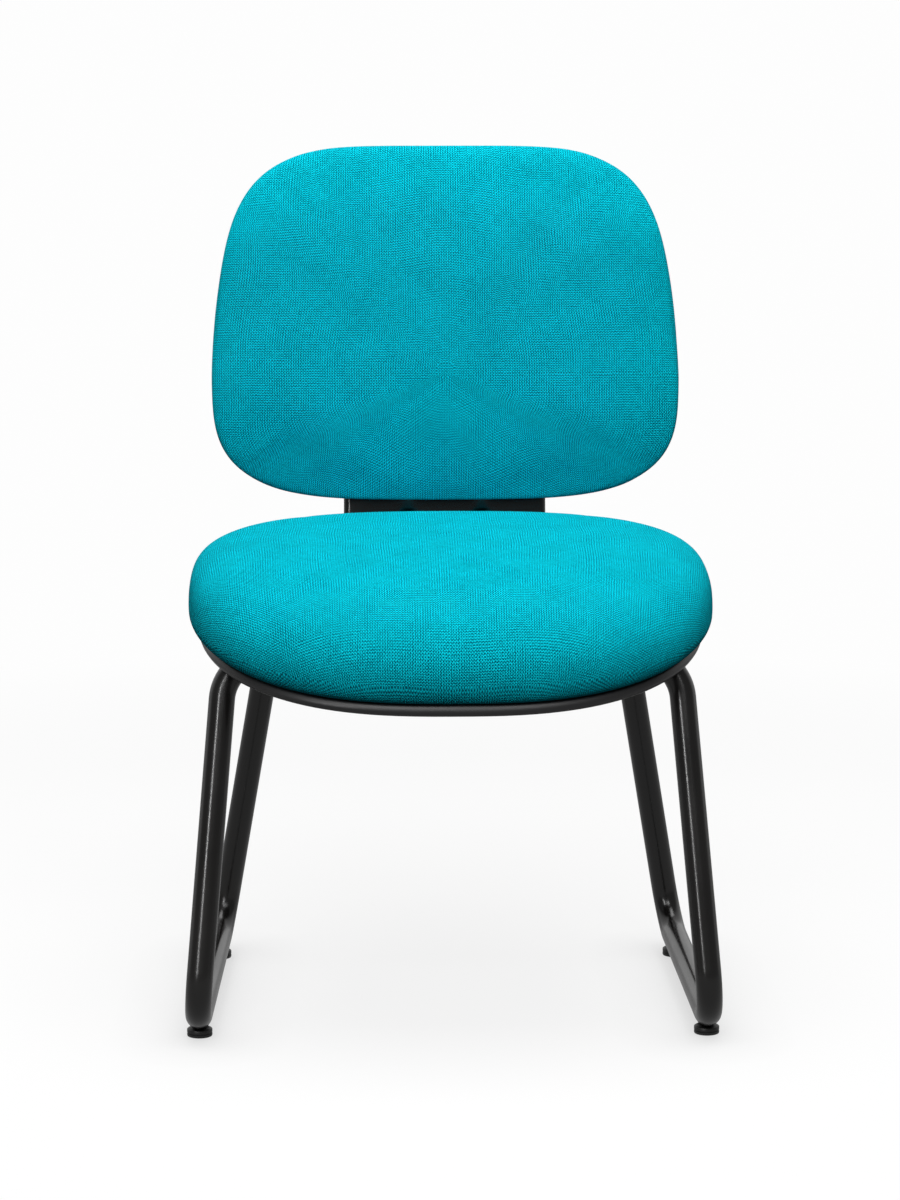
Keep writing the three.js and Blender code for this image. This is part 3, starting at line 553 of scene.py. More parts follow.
def weave_material():
    """Plain woven teal wool cloth: alternating threads, slubs along both ways and soft mottling. The light and dark
    of the threads in its colour is painted shade between them.
    """
    shader = Shader("teal_weave")
    flat = shader.add("Attribute", attribute_name="cloth_place").outputs["Vector"]
    wobble = shader.add("TexNoise", Vector=flat, Scale=WOBBLE_SCALE, Detail=2.0)
    shifted = shader.add("VectorMath", operation="SUBTRACT", i0=wobble.outputs["Color"], i1=(0.5, 0.5, 0.5))
    moved = shader.add("VectorMath", operation="SCALE", i0=shifted.outputs[0], Scale=WOBBLE * MM)
    threads = shader.add("VectorMath", operation="ADD", i0=flat, i1=moved.outputs[0]).outputs[0]
    parts = shader.add("SeparateXYZ", Vector=threads)

    def wave(axis, pitch):
        return shader.maths("COSINE", shader.maths("MULTIPLY", parts.outputs[axis], 2 * math.pi / (pitch * MM)))

    weave_relief_and_shade = shader.maths("MULTIPLY", wave("X", 2 * THREAD), wave("Y", 2 * THREAD))
    # In some patches the threads that run up the cloth stand out, and in others those that cross it
    patch = shader.spread(shader.noise(flat, PATCH_SCALE, 1.0), 0.38, 0.62, -1.0, 1.0)
    upright = shader.maths("MULTIPLY", wave("X", RIB), shader.spread(patch, -1.0, 1.0, 0.25, 1.0))
    crossing = shader.maths("MULTIPLY", wave("Y", RIB), shader.spread(patch, -1.0, 1.0, 1.0, 0.25))
    rib_relief_and_shade = shader.maths("ADD", upright, crossing)
    warp_slub = shader.noise(shader.stretch(threads, (SLUB_ACROSS, SLUB_ALONG, 1)), 1.0, 1.5)
    weft_slub = shader.noise(shader.stretch(threads, (SLUB_ALONG, SLUB_ACROSS, 1)), 1.0, 1.5)
    slub = shader.maths("ADD", warp_slub, weft_slub)
    blotch = shader.noise(flat, BLOTCH_SCALE, 2.0, 0.6)
    fibre = shader.noise(flat, FIBRE_SCALE, 2.0, 0.7)
    mottle = shader.noise(shader.place(), MOTTLE_SCALE, 3.0, 0.6)
    height = shader.maths("MULTIPLY_ADD", rib_relief_and_shade, 0.3, shader.maths("MULTIPLY", weave_relief_and_shade, 0.5))
    height = shader.maths("MULTIPLY_ADD", blotch, 0.2, height)
    height = shader.maths("MULTIPLY_ADD", fibre, 0.45, height)
    # The thread check and rib in the tone are painted shade between the threads; the slubs, blotches, fibres and
    # mottling are the cloth's own uneven tone.
    tone = shader.maths("MULTIPLY_ADD", rib_relief_and_shade, 0.36, shader.maths("MULTIPLY_ADD", weave_relief_and_shade, 0.64, 0.5))
    for noise, middle, amount in ((slub, 1.0, 0.2), (blotch, 0.5, 0.2), (fibre, 0.5, 0.9), (mottle, 0.5, 0.3)):
        tone = shader.maths("MULTIPLY_ADD", shader.maths("SUBTRACT", noise, middle), amount, tone)
    return shader.finish(
        Base_Color=shader.blend(tone, TEAL_LOW, TEAL_HIGH),
        Roughness=0.92,
        Specular_IOR_Level=0.02,
        Sheen_Weight=0.1,
        Sheen_Roughness=0.5,
        Sheen_Tint=(0.02, 0.8, 0.9, 1),
        Normal=shader.bump(height, CLOTH_RELIEF * MM, 1.0),
    )


def powder_coat():
    """Black powder coat: a slight orange peel, and sheen that varies a little along the tube."""
    shader = Shader("black_powder_coat")
    place = shader.place()
    peel = shader.noise(place, 420.0, 2.0)
    patches = shader.noise(place, 14.0, 3.0)
    specks = shader.noise(place, 900.0, 1.0)
    rough = shader.spread(patches, 0.3, 0.7, 0.19, 0.26)
    tone = shader.spread(patches, 0.25, 0.75)
    color = shader.blend(tone, (0.0062, 0.0056, 0.0052, 1), (0.0105, 0.0094, 0.0087, 1))
    height = shader.maths("MULTIPLY_ADD", specks, 0.3, peel)
    return shader.finish(
        Base_Color=color,
        Roughness=rough,
        Specular_IOR_Level=0.5,
        Normal=shader.bump(height, 0.12 * MM, 0.35),
    )


def moulded_plastic(name, low, high, grain, rough):
    """Moulded plastic with an etched grain. grain is the grain's size in millimetres."""
    shader = Shader(name)
    place = shader.place()
    cells = shader.add("TexVoronoi", Vector=place, Scale=1 / (grain * MM))
    cells.feature = "SMOOTH_F1"
    patches = shader.noise(place, 9.0, 3.0)
    fine = shader.noise(place, 2.5 / (grain * MM), 2.0)
    height = shader.maths("MULTIPLY_ADD", fine, 0.5, cells.outputs["Distance"])
    return shader.finish(
        Base_Color=shader.blend(shader.spread(patches, 0.3, 0.7), low, high),
        Roughness=shader.spread(patches, 0.3, 0.7, rough, rough + 0.08),
        Normal=shader.bump(height, 0.1 * MM, 0.4),
    )


def metal(name, low, high, rough):
    """Plated or blackened steel, a little uneven and finely brushed."""
    shader = Shader(name)
    place = shader.place()
    patches = shader.noise(place, 160.0, 3.0)
    brushed = shader.noise(shader.stretch(place, (200, 200, 4000)), 1.0, 2.0)
    return shader.finish(
        Base_Color=shader.blend(shader.spread(patches, 0.3, 0.7), low, high),
        Metallic=1.0,
        Roughness=shader.spread(brushed, 0.2, 0.8, rough, rough + 0.12),
        Normal=shader.bump(brushed, 0.02 * MM, 0.3),
    )


def plywood():
    """Beech plywood: long grain on the faces and thin darker glue lines in its edge."""
    shader = Shader("plywood")
    place = shader.place()
    grain = shader.noise(shader.stretch(place, (140, 12, 140)), 1.0, 5.0, 0.6)
    layers = shader.add("TexWave", Vector=place, Scale=220.0, Distortion=0.4, Detail=1.0)
    layers.bands_direction = "Z"
    tone = shader.maths("MULTIPLY_ADD", layers.outputs["Fac"], 0.25, shader.spread(grain, 0.25, 0.75))
    return shader.finish(
        Base_Color=shader.blend(tone, (0.36, 0.2, 0.09, 1), (0.66, 0.44, 0.24, 1)),
        Roughness=0.62,
        Normal=shader.bump(grain, 0.08 * MM, 0.4),
    )


# Cloth colours, the two ends of its tone, where the dark of the thread check is painted shade between the threads;
# and its threads' sizes in millimetres. A scale is in patches per metre.
TEAL_LOW = (0.0002, 0.09, 0.14, 1)
TEAL_HIGH = (0.002, 0.78, 0.95, 1)
THREAD = 1.45
RIB = 2.5
CLOTH_RELIEF = 0.31
WOBBLE = 1.6
WOBBLE_SCALE = 150.0
SLUB_ACROSS = 420.0
SLUB_ALONG = 26.0
PATCH_SCALE = 40.0
BLOTCH_SCALE = 300.0
FIBRE_SCALE = 520.0
MOTTLE_SCALE = 26.0

CLOTH = weave_material()
COAT = powder_coat()
PAN_PLASTIC = moulded_plastic("black_pan_plastic", (0.016, 0.016, 0.017, 1), (0.024, 0.024, 0.025, 1), 0.9, 0.36)
SHELL_PLASTIC = moulded_plastic("black_shell_plastic", (0.014, 0.014, 0.015, 1), (0.022, 0.022, 0.023, 1), 1.1, 0.46)
GLIDE_PLASTIC = moulded_plastic("black_glide_plastic", (0.01, 0.01, 0.01, 1), (0.016, 0.016, 0.016, 1), 0.7, 0.42)
ZINC = metal("zinc_plate", (0.46, 0.48, 0.5, 1), (0.62, 0.63, 0.64, 1), 0.28)
BLACK_OXIDE = metal("black_oxide", (0.02, 0.02, 0.021, 1), (0.045, 0.045, 0.047, 1), 0.34)
PLYWOOD = plywood()


# Soft pieces
def fabric_places(rings):
    """Where each point of the skin lies on the flat cloth: its plan place, and beyond the edge further out."""
    plan = rings[..., :2]
    widest = plan[np.argmax(np.linalg.norm(plan, axis=2), axis=0), np.arange(rings.shape[1])]
    tangent = np.roll(widest, -1, axis=0) - np.roll(widest, 1, axis=0)
    outward = np.stack([tangent[:, 1], -tangent[:, 0]], axis=1)
    outward /= np.linalg.norm(outward, axis=1, keepdims=True)
    # Both are measured from the centre of the top outwards, which is from the last ring to the first
    hops = np.linalg.norm(np.diff(rings, axis=0), axis=2)[::-1]
    plan_hops = -(np.diff(plan, axis=0) * outward).sum(axis=2)[::-1]
    zeros = np.zeros((1, rings.shape[1]))
    excess = np.concatenate([zeros, np.cumsum(hops - plan_hops, axis=0)])[::-1]
    return plan + outward * excess[..., None]


def cushion(name, form, shrink):
    """A closed cushion that wraps its board: a pocket round the board, the turned-in flap and the skin."""
    pocket = form["board_inset"] - GAP
    flap = form["board_inset"] + FLAP
    ceiling = form["board_high"] + GAP
    floor = form["board_low"] - GAP
    seam_ring = form["seam_inset"] + shrink
    inside = [(0, pocket, ceiling)]
    inside += [(share, pocket, ceiling) for share in FACE_SHARES + [1]]
    inside += [(1, pocket, floor), (1, flap, floor), (1, flap, form["bottom"])]
    inside += [(1, form["board_inset"], form["bottom"]), (1, seam_ring, form["bottom"])]
    skin = fine_skin(form, shrink)
    profile = inside + skin
    piece = ring_piece(name, {**form, "place": form["place_cloth"]}, profile, CLOTH)
    lay_cloth(piece, form, profile, len(inside))
    return piece, len(inside) - 1


def lay_cloth(piece, form, profile, first_skin):
    """Tells each point where it lies on the flat cloth, which the weave is drawn by."""
    flat_form = {**form, "place": lambda x, y, height: np.stack([x, y, height], axis=-1)}
    rings, _ = ring_points(flat_form, profile)
    places = np.zeros(rings.shape[:2] + (2,))
    places[:] = rings[..., :2]
    skin_start = first_skin - 1
    places[skin_start:] = fabric_places(rings[skin_start:])
    flat = np.zeros((len(piece.data.vertices), 3))
    flat[1:-1, :2] = places.reshape(-1, 2) * MM
    layer = piece.data.attributes.new("cloth_place", "FLOAT_VECTOR", "POINT")
    layer.data.foreach_set("vector", flat.astype(np.float32).ravel())


def inflate(piece, free_from, pressure, tension, bending):
    """Lets the skin swell as stuffed cloth does, with all that lies under the seam pinned."""
    start = vectors(piece.data.vertices, "co")
    facing = vectors(piece.data.vertices, "normal")
    ring = (np.arange(len(start)) - 1) // OUTLINE_POINTS
    hold = np.clip(1 - (ring - free_from) / HOLD_RINGS, 0, 1)
    hold[-1] = 0
    group = piece.vertex_groups.new(name="pinned")
    for i, weight in enumerate(hold):
        if weight > 0:
            group.add([i], float(weight), "REPLACE")
    modifier = piece.modifiers.new("cloth", "CLOTH")
    settings = modifier.settings
    settings.quality = 6
    settings.mass = 0.3
    settings.tension_stiffness = tension
    settings.compression_stiffness = tension
    settings.shear_stiffness = tension / 2
    settings.bending_stiffness = bending
    settings.vertex_group_mass = "pinned"
    settings.use_pressure = True
    settings.uniform_pressure_force = pressure
    settings.effector_weights.gravity = 0
    modifier.collision_settings.use_collision = False
    modifier.collision_settings.use_self_collision = False
    modifier.point_cache.frame_start = 1
    modifier.point_cache.frame_end = SWELL_FRAMES
    scene = bpy.context.scene
    for number in range(1, SWELL_FRAMES + 1):
        scene.frame_set(number)
    depsgraph = bpy.context.evaluated_depsgraph_get()
    swollen = piece.evaluated_get(depsgraph).to_mesh()
    moves = vectors(swollen.vertices, "co") - start
    piece.modifiers.clear()
    scene.frame_set(1)
    # A point moves along its own normal alone, and eases off towards the caps
    outward = (moves * facing).sum(axis=1) / MM
    swell = np.where(outward > 0, SWELL_CAP * np.tanh(outward / SWELL_CAP), SINK_CAP * np.tanh(outward / SINK_CAP))
    # The fan round the centre moves as one with the ring outside it
    centre = len(start) - 1 - len(CROWN_RING_SHARES) * OUTLINE_POINTS
    swell[centre:] = swell[centre - OUTLINE_POINTS:centre].mean()
    piece.data.vertices.foreach_set("co", (start + facing * swell[:, None] * MM).ravel())
    piece.data.update()
    return swell


def vectors(points, name):
    values = np.zeros(len(points) * 3)
    points.foreach_get(name, values)
    return values.reshape(-1, 3)


HOLD_RINGS = 3
SWELL_FRAMES = 20
SWELL_CAP = 3
SINK_CAP = 0.8
SWELL_PRESSURE = 1
CLOTH_TENSION = 40
CLOTH_BENDING = 0.6
SHRINK = 0.8


def make_cushion(name, form, nodes):
    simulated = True
    piece, skin_ring = cushion(name, form, SHRINK if simulated else 0)
    if simulated:
        inflate(piece, skin_ring, SWELL_PRESSURE, CLOTH_TENSION, CLOTH_BENDING)
    smooth = piece.modifiers.new("fine", "SUBSURF")
    smooth.levels = 1
    smooth.render_levels = 1
    stands_for(piece, "teal_fabric", *nodes)
    return piece


def make_soft_pieces():
    make_cushion("seat_cushion", SEAT, ["seat_cover", "seat_foam"])
    make_cushion("back_cushion", BACK, ["back_cover", "back_foam"])
    for name, form, node in (("seat_panel", SEAT, "seat_board"), ("back_panel", BACK, "back_board")):
        profile = sheet_profile(form, form["board_inset"], form["board_low"], form["board_high"])
        panel = ring_piece(name, form, profile, PLYWOOD)
        stands_for(panel, "plywood", node)


# Frame
def bent_path(corners, radii):
    """Points and directions along a tube's centreline, whose corners are arcs."""
    corners = [np.array(c, float) for c in corners]
    points, ways = [corners[0]], [unit(corners[1] - corners[0])]
    for before, corner, after, radius in zip(corners, corners[1:], corners[2:], radii):
        arriving, leaving = unit(corner - before), unit(after - corner)
        turn = math.acos(np.clip(arriving @ leaving, -1, 1))
        start = corner - arriving * radius * math.tan(turn / 2)
        inward = unit(leaving - arriving * (leaving @ arriving))
        centre = start + inward * radius
        for angle in np.linspace(0, turn, BEND_STEPS + 1):
            points.append(centre - inward * radius * math.cos(angle) + arriving * radius * math.sin(angle))
            ways.append(arriving * math.cos(angle) + inward * math.sin(angle))
    points.append(corners[-1])
    ways.append(unit(corners[-1] - corners[-2]))
    return np.array(points), np.array(ways)


def unit(vector):
    return vector / np.linalg.norm(vector)


def tube_rings(points, ways, radii, sides=TUBE_SIDES):
    """A ring of points round each point of a path, turned as little as the path allows."""
    side = unit(np.cross(ways[0], [0.3, 0.2, 1]))
    rings = []
    for point, way, radius in zip(points, ways, radii):
        side = unit(side - way * (side @ way))
        other = np.cross(way, side)
        angles = np.linspace(0, 2 * math.pi, sides, endpoint=False)
        rings.append([point + radius * (math.cos(a) * side + math.sin(a) * other) for a in angles])
    return np.array(rings)


def hollow_tube(name, points, ways, radius, wall, material):
    """A tube with a bore, closed at each end by its rim."""
    outer = tube_rings(points, ways, [radius] * len(points))
    inner = tube_rings(points, ways, [radius - wall] * len(points))
    loops = np.concatenate([outer, inner[::-1]])
    count = len(loops)
    faces = []
    for k in range(count):
        low, high = k * TUBE_SIDES, ((k + 1) % count) * TUBE_SIDES
        for i in range(TUBE_SIDES):
            j = (i + 1) % TUBE_SIDES
            faces.append((low + i, low + j, high + j, high + i))
    return new_piece(name, loops.reshape(-1, 3), faces, material, 50)


def half_frame_path(side):
    def corner(place, height):
        return (side * place[0], place[1] + SHIFT_Y, height)

    middle = GAP / 2
    corners = [
        corner((middle, FRONT_TOP[1]), CROSS_TUBE_HEIGHT),
        corner(FRONT_TOP, CROSS_TUBE_HEIGHT),
        corner(FRONT_FOOT, RUNNER_HEIGHT),
        corner(REAR_FOOT, RUNNER_HEIGHT),
        corner(REAR_TOP, CROSS_TUBE_HEIGHT),
        corner((middle, REAR_TOP[1]), CROSS_TUBE_HEIGHT),
    ]
    return bent_path(corners, [TOP_BEND, FOOT_BEND, FOOT_BEND, TOP_BEND])


def glide_profile():
    """Two tiers with a groove between them, rounded edges and a shoulder that slopes up to the tube."""
    radius = 12.25
    return [
        (0, 0), (radius - 1.2, 0), (radius - 0.4, 0.3), (radius, 1.1), (radius, 2.8),
        (radius - 0.3, 3.0), (radius - 0.8, 3.1), (radius - 0.8, 3.9), (radius - 0.3, 4.0),
        (radius, 4.2), (radius, 6.8), (radius - 0.5, 7.4), (radius - 2.4, 8.5), (radius - 3.4, 8.9), (0, 8.9),
    ]


def make_glides(side_name, points, ways):
    bends = BEND_STEPS + 1
    for end, index in (("front", 2 * bends), ("rear", 2 * bends + 1)):
        x, y, _ = points[index]
        way = ways[index]
        place = Matrix.Translation((x, y, 0))
        glide = turned_piece(f"foot_{end}_{side_name}", glide_profile(), GLIDE_PLASTIC, place)
        heading = Matrix.Rotation(math.atan2(way[1], way[0]) - math.pi / 2, 4, "Z")
        lying = Matrix.Translation((x, y, RUNNER_HEIGHT)) @ heading @ Matrix.Rotation(math.pi / 2, 4, "X")
        carve(glide, [cylinder_mesh(TUBE_RADIUS + GAP, -30, 30, lying, 64)])
        stands_for(glide, "black_plastic", f"glide_{end}_{side_name}")


def make_weld(name, x, y_side, y, half_length):
    """A rippled fillet of weld between a cross tube and the rail on it."""
    steps = 28
    shares = np.linspace(-1, 1, steps)
    points = np.array([(x + s * half_length, y + y_side * 5.2 + SHIFT_Y, RAIL_BOTTOM - 1.5) for s in shares])
    ways = np.tile([1.0, 0, 0], (steps, 1))
    radii = 2.1 * np.sqrt(np.clip(1 - shares**4, 0.02, 1)) + 0.22 * np.sin(shares * half_length * 2.4)
    rings = tube_rings(points, ways, radii, 12)
    flat = np.vstack([points[:1], rings.reshape(-1, 3), points[-1:]])
    return new_piece(name, flat, ring_faces(steps, 12), COAT, 60)


def make_rail(side_name, side):
    """A flat bar with round ends and two bolt holes, welded across the cross tubes."""
    x = side * RAIL_X
    half = RAIL_WIDTH / 2
    front = FRONT_TOP[1] - RAIL_OVERHANG + half
    rear = REAR_TOP[1] + RAIL_OVERHANG - half
    angles = np.linspace(0, math.pi, ROUND_SIDES // 2 + 1)
    loop = [(x + half * math.cos(a), rear + half * math.sin(a)) for a in angles]
    loop += [(x - half * math.cos(a), front - half * math.sin(a)) for a in angles]
    count = len(loop)
    points = [(px, py + SHIFT_Y, z) for z in (RAIL_BOTTOM, RAIL_TOP) for px, py in loop]
    faces = [(i, (i + 1) % count, (i + 1) % count + count, i + count) for i in range(count)]
    faces += [tuple(reversed(range(count))), tuple(range(count, 2 * count))]
    rail = new_piece(f"rail_{side_name}", points, faces, COAT)
    carve(rail, [cylinder_mesh(BOLT_HOLE, -20, 20, at(x, y, RAIL_BOTTOM)) for y in RAIL_BOLT_Y])
    soften_edges(rail, 0.5)
    stands_for(rail, "black_powder_coat", f"seat_rail_{side_name}")
    for end, y in (("front", FRONT_TOP[1]), ("rear", REAR_TOP[1])):
        for face, y_side in (("fore", -1), ("aft", 1)):
            weld = make_weld(f"weld_{end}_{face}_{side_name}", x, y_side, y, half - 2)
            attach(weld, "root")


def make_frame():
    for side_name, side in (("left", -1), ("right", 1)):
        points, ways = half_frame_path(side)
        tube = hollow_tube(f"sled_tube_{side_name}", points, ways, TUBE_RADIUS, TUBE_WALL, COAT)
        stands_for(tube, "black_powder_coat", f"half_frame_{side_name}")
        make_glides(side_name, points, ways)
        make_rail(side_name, side)


# Where the bolts go
RAIL_BOLT_Y = [FRONT_TOP[1] + RAIL_BOLT_FROM_TUBE, REAR_TOP[1] - RAIL_BOLT_FROM_TUBE]
FOOT_BOLT_X = 62
FOOT_BOLT_Y = [UPRIGHT_FOOT_Y + 24, UPRIGHT_FOOT_Y + 24 + 82]
BACK_BOLT_X = 66
BACK_BOLT_RISE = [UPRIGHT_TOP - 28 - 106, UPRIGHT_TOP - 28]
PAN_SCREW_X = 0.72 * (SEAT_HALF_WIDTH - PAN_INSET)
PAN_SCREW_Y = [-0.17 * (SEAT_FRONT - PAN_INSET), 0.32 * (SEAT_REAR - PAN_INSET)]


def both_sides(x, ys):
    return [(side * x, y, side_name, end) for end, y in enumerate(ys) for side_name, side in SIDES]


SIDES = (("left", -1), ("right", 1))
RAIL_BOLTS = both_sides(RAIL_X, RAIL_BOLT_Y)
FOOT_BOLTS = both_sides(FOOT_BOLT_X, FOOT_BOLT_Y)
BACK_BOLTS = both_sides(BACK_BOLT_X, BACK_BOLT_RISE)
PAN_SCREWS = both_sides(PAN_SCREW_X, PAN_SCREW_Y)


# Seat pan, upright and shell
def pan_profile():
    band = PAN_UNDERSIDE - PAN_SKIRT
    lip = PAN_TOP + PAN_LIP
    inner = PAN_INSET + PAN_WALL
    swell = [
        (1, PAN_INSET + PAN_BULGE / 2 - 1.5 * PAN_BULGE * math.sin(a) - 0.5 * PAN_BULGE * s, band + (lip - band) * s)
        for s, a in ((s, math.pi * s) for s in np.linspace(0.04, 0.96, 11))
    ]
    return [
        (0, inner, PAN_UNDERSIDE),
        *[(share, SEAT_BOARD_INSET, PAN_UNDERSIDE) for share in FACE_SHARES + [1]],
        (1, inner + 1, PAN_UNDERSIDE),
        (1, inner, PAN_UNDERSIDE - 1),
        (1, inner, band + 0.5),
        (1, inner - 0.5, band),
        (1, PAN_INSET + PAN_BULGE / 2 + 0.7, band),
        *swell,
        (1, PAN_INSET + 0.6, lip),
        (1, inner - PAN_BULGE / 2 - 0.4, lip),
        (1, inner - PAN_BULGE / 2, lip - 0.5),
        (1, inner, PAN_TOP),
        *[(share, SEAT_BOARD_INSET, PAN_TOP) for share in [1] + FACE_SHARES[::-1]],
        (0, inner, PAN_TOP),
    ]


def make_pan():
    pan = ring_piece("pan_moulding", SEAT, pan_profile(), PAN_PLASTIC)
    rib_low = PAN_UNDERSIDE - PAN_RIB_HEIGHT
    middle = PAN_UNDERSIDE + PAN_FLOOR / 2
    ribs = [
        box_mesh(
            (side * PAN_RIB_X - PAN_RIB_WIDTH / 2, PAN_RIB_FRONT + SHIFT_Y, rib_low),
            (side * PAN_RIB_X + PAN_RIB_WIDTH / 2, PAN_RIB_REAR + SHIFT_Y, middle),
        )
        for _, side in SIDES
    ]
    bolts = RAIL_BOLTS + FOOT_BOLTS
    bosses = [
        cylinder_mesh(PAN_BOSS_RADIUS, PAN_UNDERSIDE - PAN_BOSS, middle, at(x, y, 0)) for x, y, _, _ in bolts
    ]
    carve(pan, ribs + bosses, "UNION")
    notch_half = UPRIGHT_HALF_WIDTH + 2 * GAP
    notch_from = SEAT_REAR - PAN_INSET - PAN_NOTCH + SHIFT_Y
    notch = box_mesh(
        (-notch_half, notch_from, PAN_UNDERSIDE - PAN_SKIRT - 12),
        (notch_half, SEAT_REAR + SHIFT_Y, PAN_UNDERSIDE),
    )
    holes = [cylinder_mesh(BOLT_HOLE + GAP, -20, 20, at(x, y, PAN_UNDERSIDE)) for x, y, _, _ in bolts]
    holes += [cylinder_mesh(SCREW_RADIUS + GAP, -20, 20, at(x, y, PAN_UNDERSIDE)) for x, y, _, _ in PAN_SCREWS]
    carve(pan, [notch] + holes)
    stands_for(pan, "black_plastic", "seat_pan")


def shell_profile():
    inner = SHELL_INSET + SHELL_WALL
    corner = [
        (1, SHELL_INSET + SHELL_CORNER * (1 - math.sin(a)), SHELL_REAR + SHELL_CORNER * (1 - math.cos(a)))
        for a in np.linspace(0, math.pi / 2, 7)
    ]
    return [
        (0, SHELL_INSET, SHELL_REAR),
        *[(share, BACK_BOARD_INSET, SHELL_REAR) for share in FACE_SHARES + [1]],
        *corner,
        (1, SHELL_INSET, SHELL_LIP - 1.2),
        (1, SHELL_INSET + 0.35, SHELL_LIP - 0.35),
        (1, SHELL_INSET + 1.2, SHELL_LIP),
        (1, inner - 0.5, SHELL_LIP),
        (1, inner, SHELL_LIP - 0.5),
        (1, inner, SHELL_FRONT),
        *[(share, BACK_BOARD_INSET, SHELL_FRONT) for share in [1] + FACE_SHARES[::-1]],
        (0, inner, SHELL_FRONT),
    ]


def make_shell():
    shell = ring_piece("shell_moulding", BACK, shell_profile(), SHELL_PLASTIC)
    holes = [cylinder_mesh(BOLT_HOLE + GAP, -20, 20, at_back(x, rise, SHELL_REAR)) for x, rise, _, _ in BACK_BOLTS]
    carve(shell, holes)
    stands_for(shell, "black_plastic", "back_shell")


def upright_section(half_width, flange, bead):
    """A front row and a rear row of points, each as x and depth, from the left edge to the right."""
    half = PLATE / 2
    inner = UPRIGHT_EDGE - PLATE
    tip = half + flange * UPRIGHT_FLANGE
    waves = np.linspace(-1, 1, 9)
    arc = np.linspace(0, math.pi / 2, 7)
    start = half_width - UPRIGHT_EDGE

    def ridge(depth):
        bumps = bead * BEAD_DEPTH * (0.5 + 0.5 * np.cos(waves * math.pi))
        return [(BEAD_X + w * BEAD_HALF_WIDTH, depth + b) for w, b in zip(waves, bumps)]

    front = [(12, -half), *ridge(-half), ((BEAD_X + BEAD_HALF_WIDTH + start) / 2, -half)]
    front += [
        (start + UPRIGHT_EDGE * math.sin(a), flange * UPRIGHT_EDGE * (1 - math.cos(a)) - half) for a in arc
    ]
    front.append((half_width, tip - 0.3 * flange * UPRIGHT_FLANGE - 0.2))
    rear = [(12, half), *ridge(half), ((BEAD_X + BEAD_HALF_WIDTH + start) / 2, half)]
    rear += [(start + inner * math.sin(a), half + flange * inner * (1 - math.cos(a))) for a in arc[:-1]]
    rear += [(half_width - PLATE, tip), (half_width, tip)]
    mirrored = [[(-x, depth) for x, depth in row[::-1]] + row for row in (front, rear)]
    return mirrored[0] + mirrored[1][::-1]


def make_upright():
    plane = BACK_ORIGIN + FACING * (UPRIGHT_FRONT - PLATE / 2)
    foot_height = RAIL_BOTTOM + PLATE / 2
    corner = plane + LEAN * (foot_height - plane[2]) / LEAN[2]
    foot = (0, UPRIGHT_FOOT_Y + SHIFT_Y, foot_height)
    points, ways = bent_path([foot, corner, plane + LEAN * UPRIGHT_TOP], [UPRIGHT_BEND])
    corner_angles = np.linspace(0, math.pi / 2, 9)
    insets = UPRIGHT_CORNER * (1 - np.sin(corner_angles))
    stations = [(points[0] + ways[0] * inset, ways[0], 0, 0) for inset in insets[::-1]]
    lead = points[1] - ways[1] * (BEAD_LEAD + BEAD_END)
    stations += [(lead + ways[1] * BEAD_END * s, ways[1], s * s * (3 - 2 * s), 0) for s in np.linspace(0, 1, 5)]
    bend_count = len(points) - 2
    for i in range(bend_count):
        grown = float(smoothstep(i / (bend_count - 1), 0, 1))
        stations.append((points[1 + i], ways[1 + i], 1, grown))
    lead = points[-2] + ways[-1] * BEAD_LEAD
    stations += [(lead + ways[-1] * BEAD_END * s, ways[-1], 1 - s * s * (3 - 2 * s), 1) for s in np.linspace(0, 1, 5)]
    fades = np.linspace(0, 1, 6)[:-1]
    top = points[-1]
    stations += [
        (top - ways[-1] * UPRIGHT_CORNER * (2 - s), ways[-1], 0, 1 + (TOP_FLANGE_SHARE - 1) * float(smoothstep(s, 0, 1)))
        for s in fades
    ]
    stations += [(top - ways[-1] * inset, ways[-1], 0, TOP_FLANGE_SHARE) for inset in insets]
    centres = np.array([s[0] for s in stations])
    run = np.concatenate([[0], np.cumsum(np.linalg.norm(np.diff(centres, axis=0), axis=1))])
    widen_from = run[len(insets) + 4]
    widen_to = run[len(insets) + 4 + bend_count]
    rows = []
    for (point, way, bead, flange), length in zip(stations, run):
        outward = np.array([0, way[2], -way[1]])
        beyond = max(UPRIGHT_CORNER - min(length, run[-1] - length), 0)
        rounding = UPRIGHT_CORNER - math.sqrt(max(UPRIGHT_CORNER**2 - beyond**2, 0))
        wide = float(smoothstep(length, widen_from, widen_to))
        half_width = UPRIGHT_FOOT_HALF_WIDTH + (UPRIGHT_HALF_WIDTH - UPRIGHT_FOOT_HALF_WIDTH) * wide - rounding
        for x, depth in upright_section(half_width, flange, bead):
            rows.append(point + outward * depth + np.array([x, 0, 0]))
    count = len(rows) // len(stations)
    upright = new_piece("upright_pressing", rows, loft_faces(len(stations), count), COAT)
    holes = [cylinder_mesh(BOLT_HOLE, -20, 20, at(x, y, foot_height)) for x, y, _, _ in FOOT_BOLTS]
    holes += [cylinder_mesh(BOLT_HOLE, -10, 10, at_back(x, rise, UPRIGHT_FRONT)) for x, rise, _, _ in BACK_BOLTS]
    carve(upright, holes)
    soften_edges(upright, 0.5)
    stands_for(upright, "black_powder_coat", "back_upright")


# Fasteners
def bolt_profile(length):
    """A button head whose seat is at height 0, and a shank with a chamfered tip."""
    crown = [
        (BOLT_HEAD_RADIUS * math.cos(a), -0.7 - (BOLT_HEAD_HEIGHT - 0.7) * math.sin(a))
        for a in np.linspace(math.radians(62), 0, 8)
    ]
    top = crown[0][1]
    return [
        (0, top), *crown, (BOLT_HEAD_RADIUS, -0.2), (BOLT_HEAD_RADIUS - 0.2, 0), (BOLT_RADIUS, 0),
        (BOLT_RADIUS, length - 1), (BOLT_RADIUS - 1, length), (0, length),
    ]


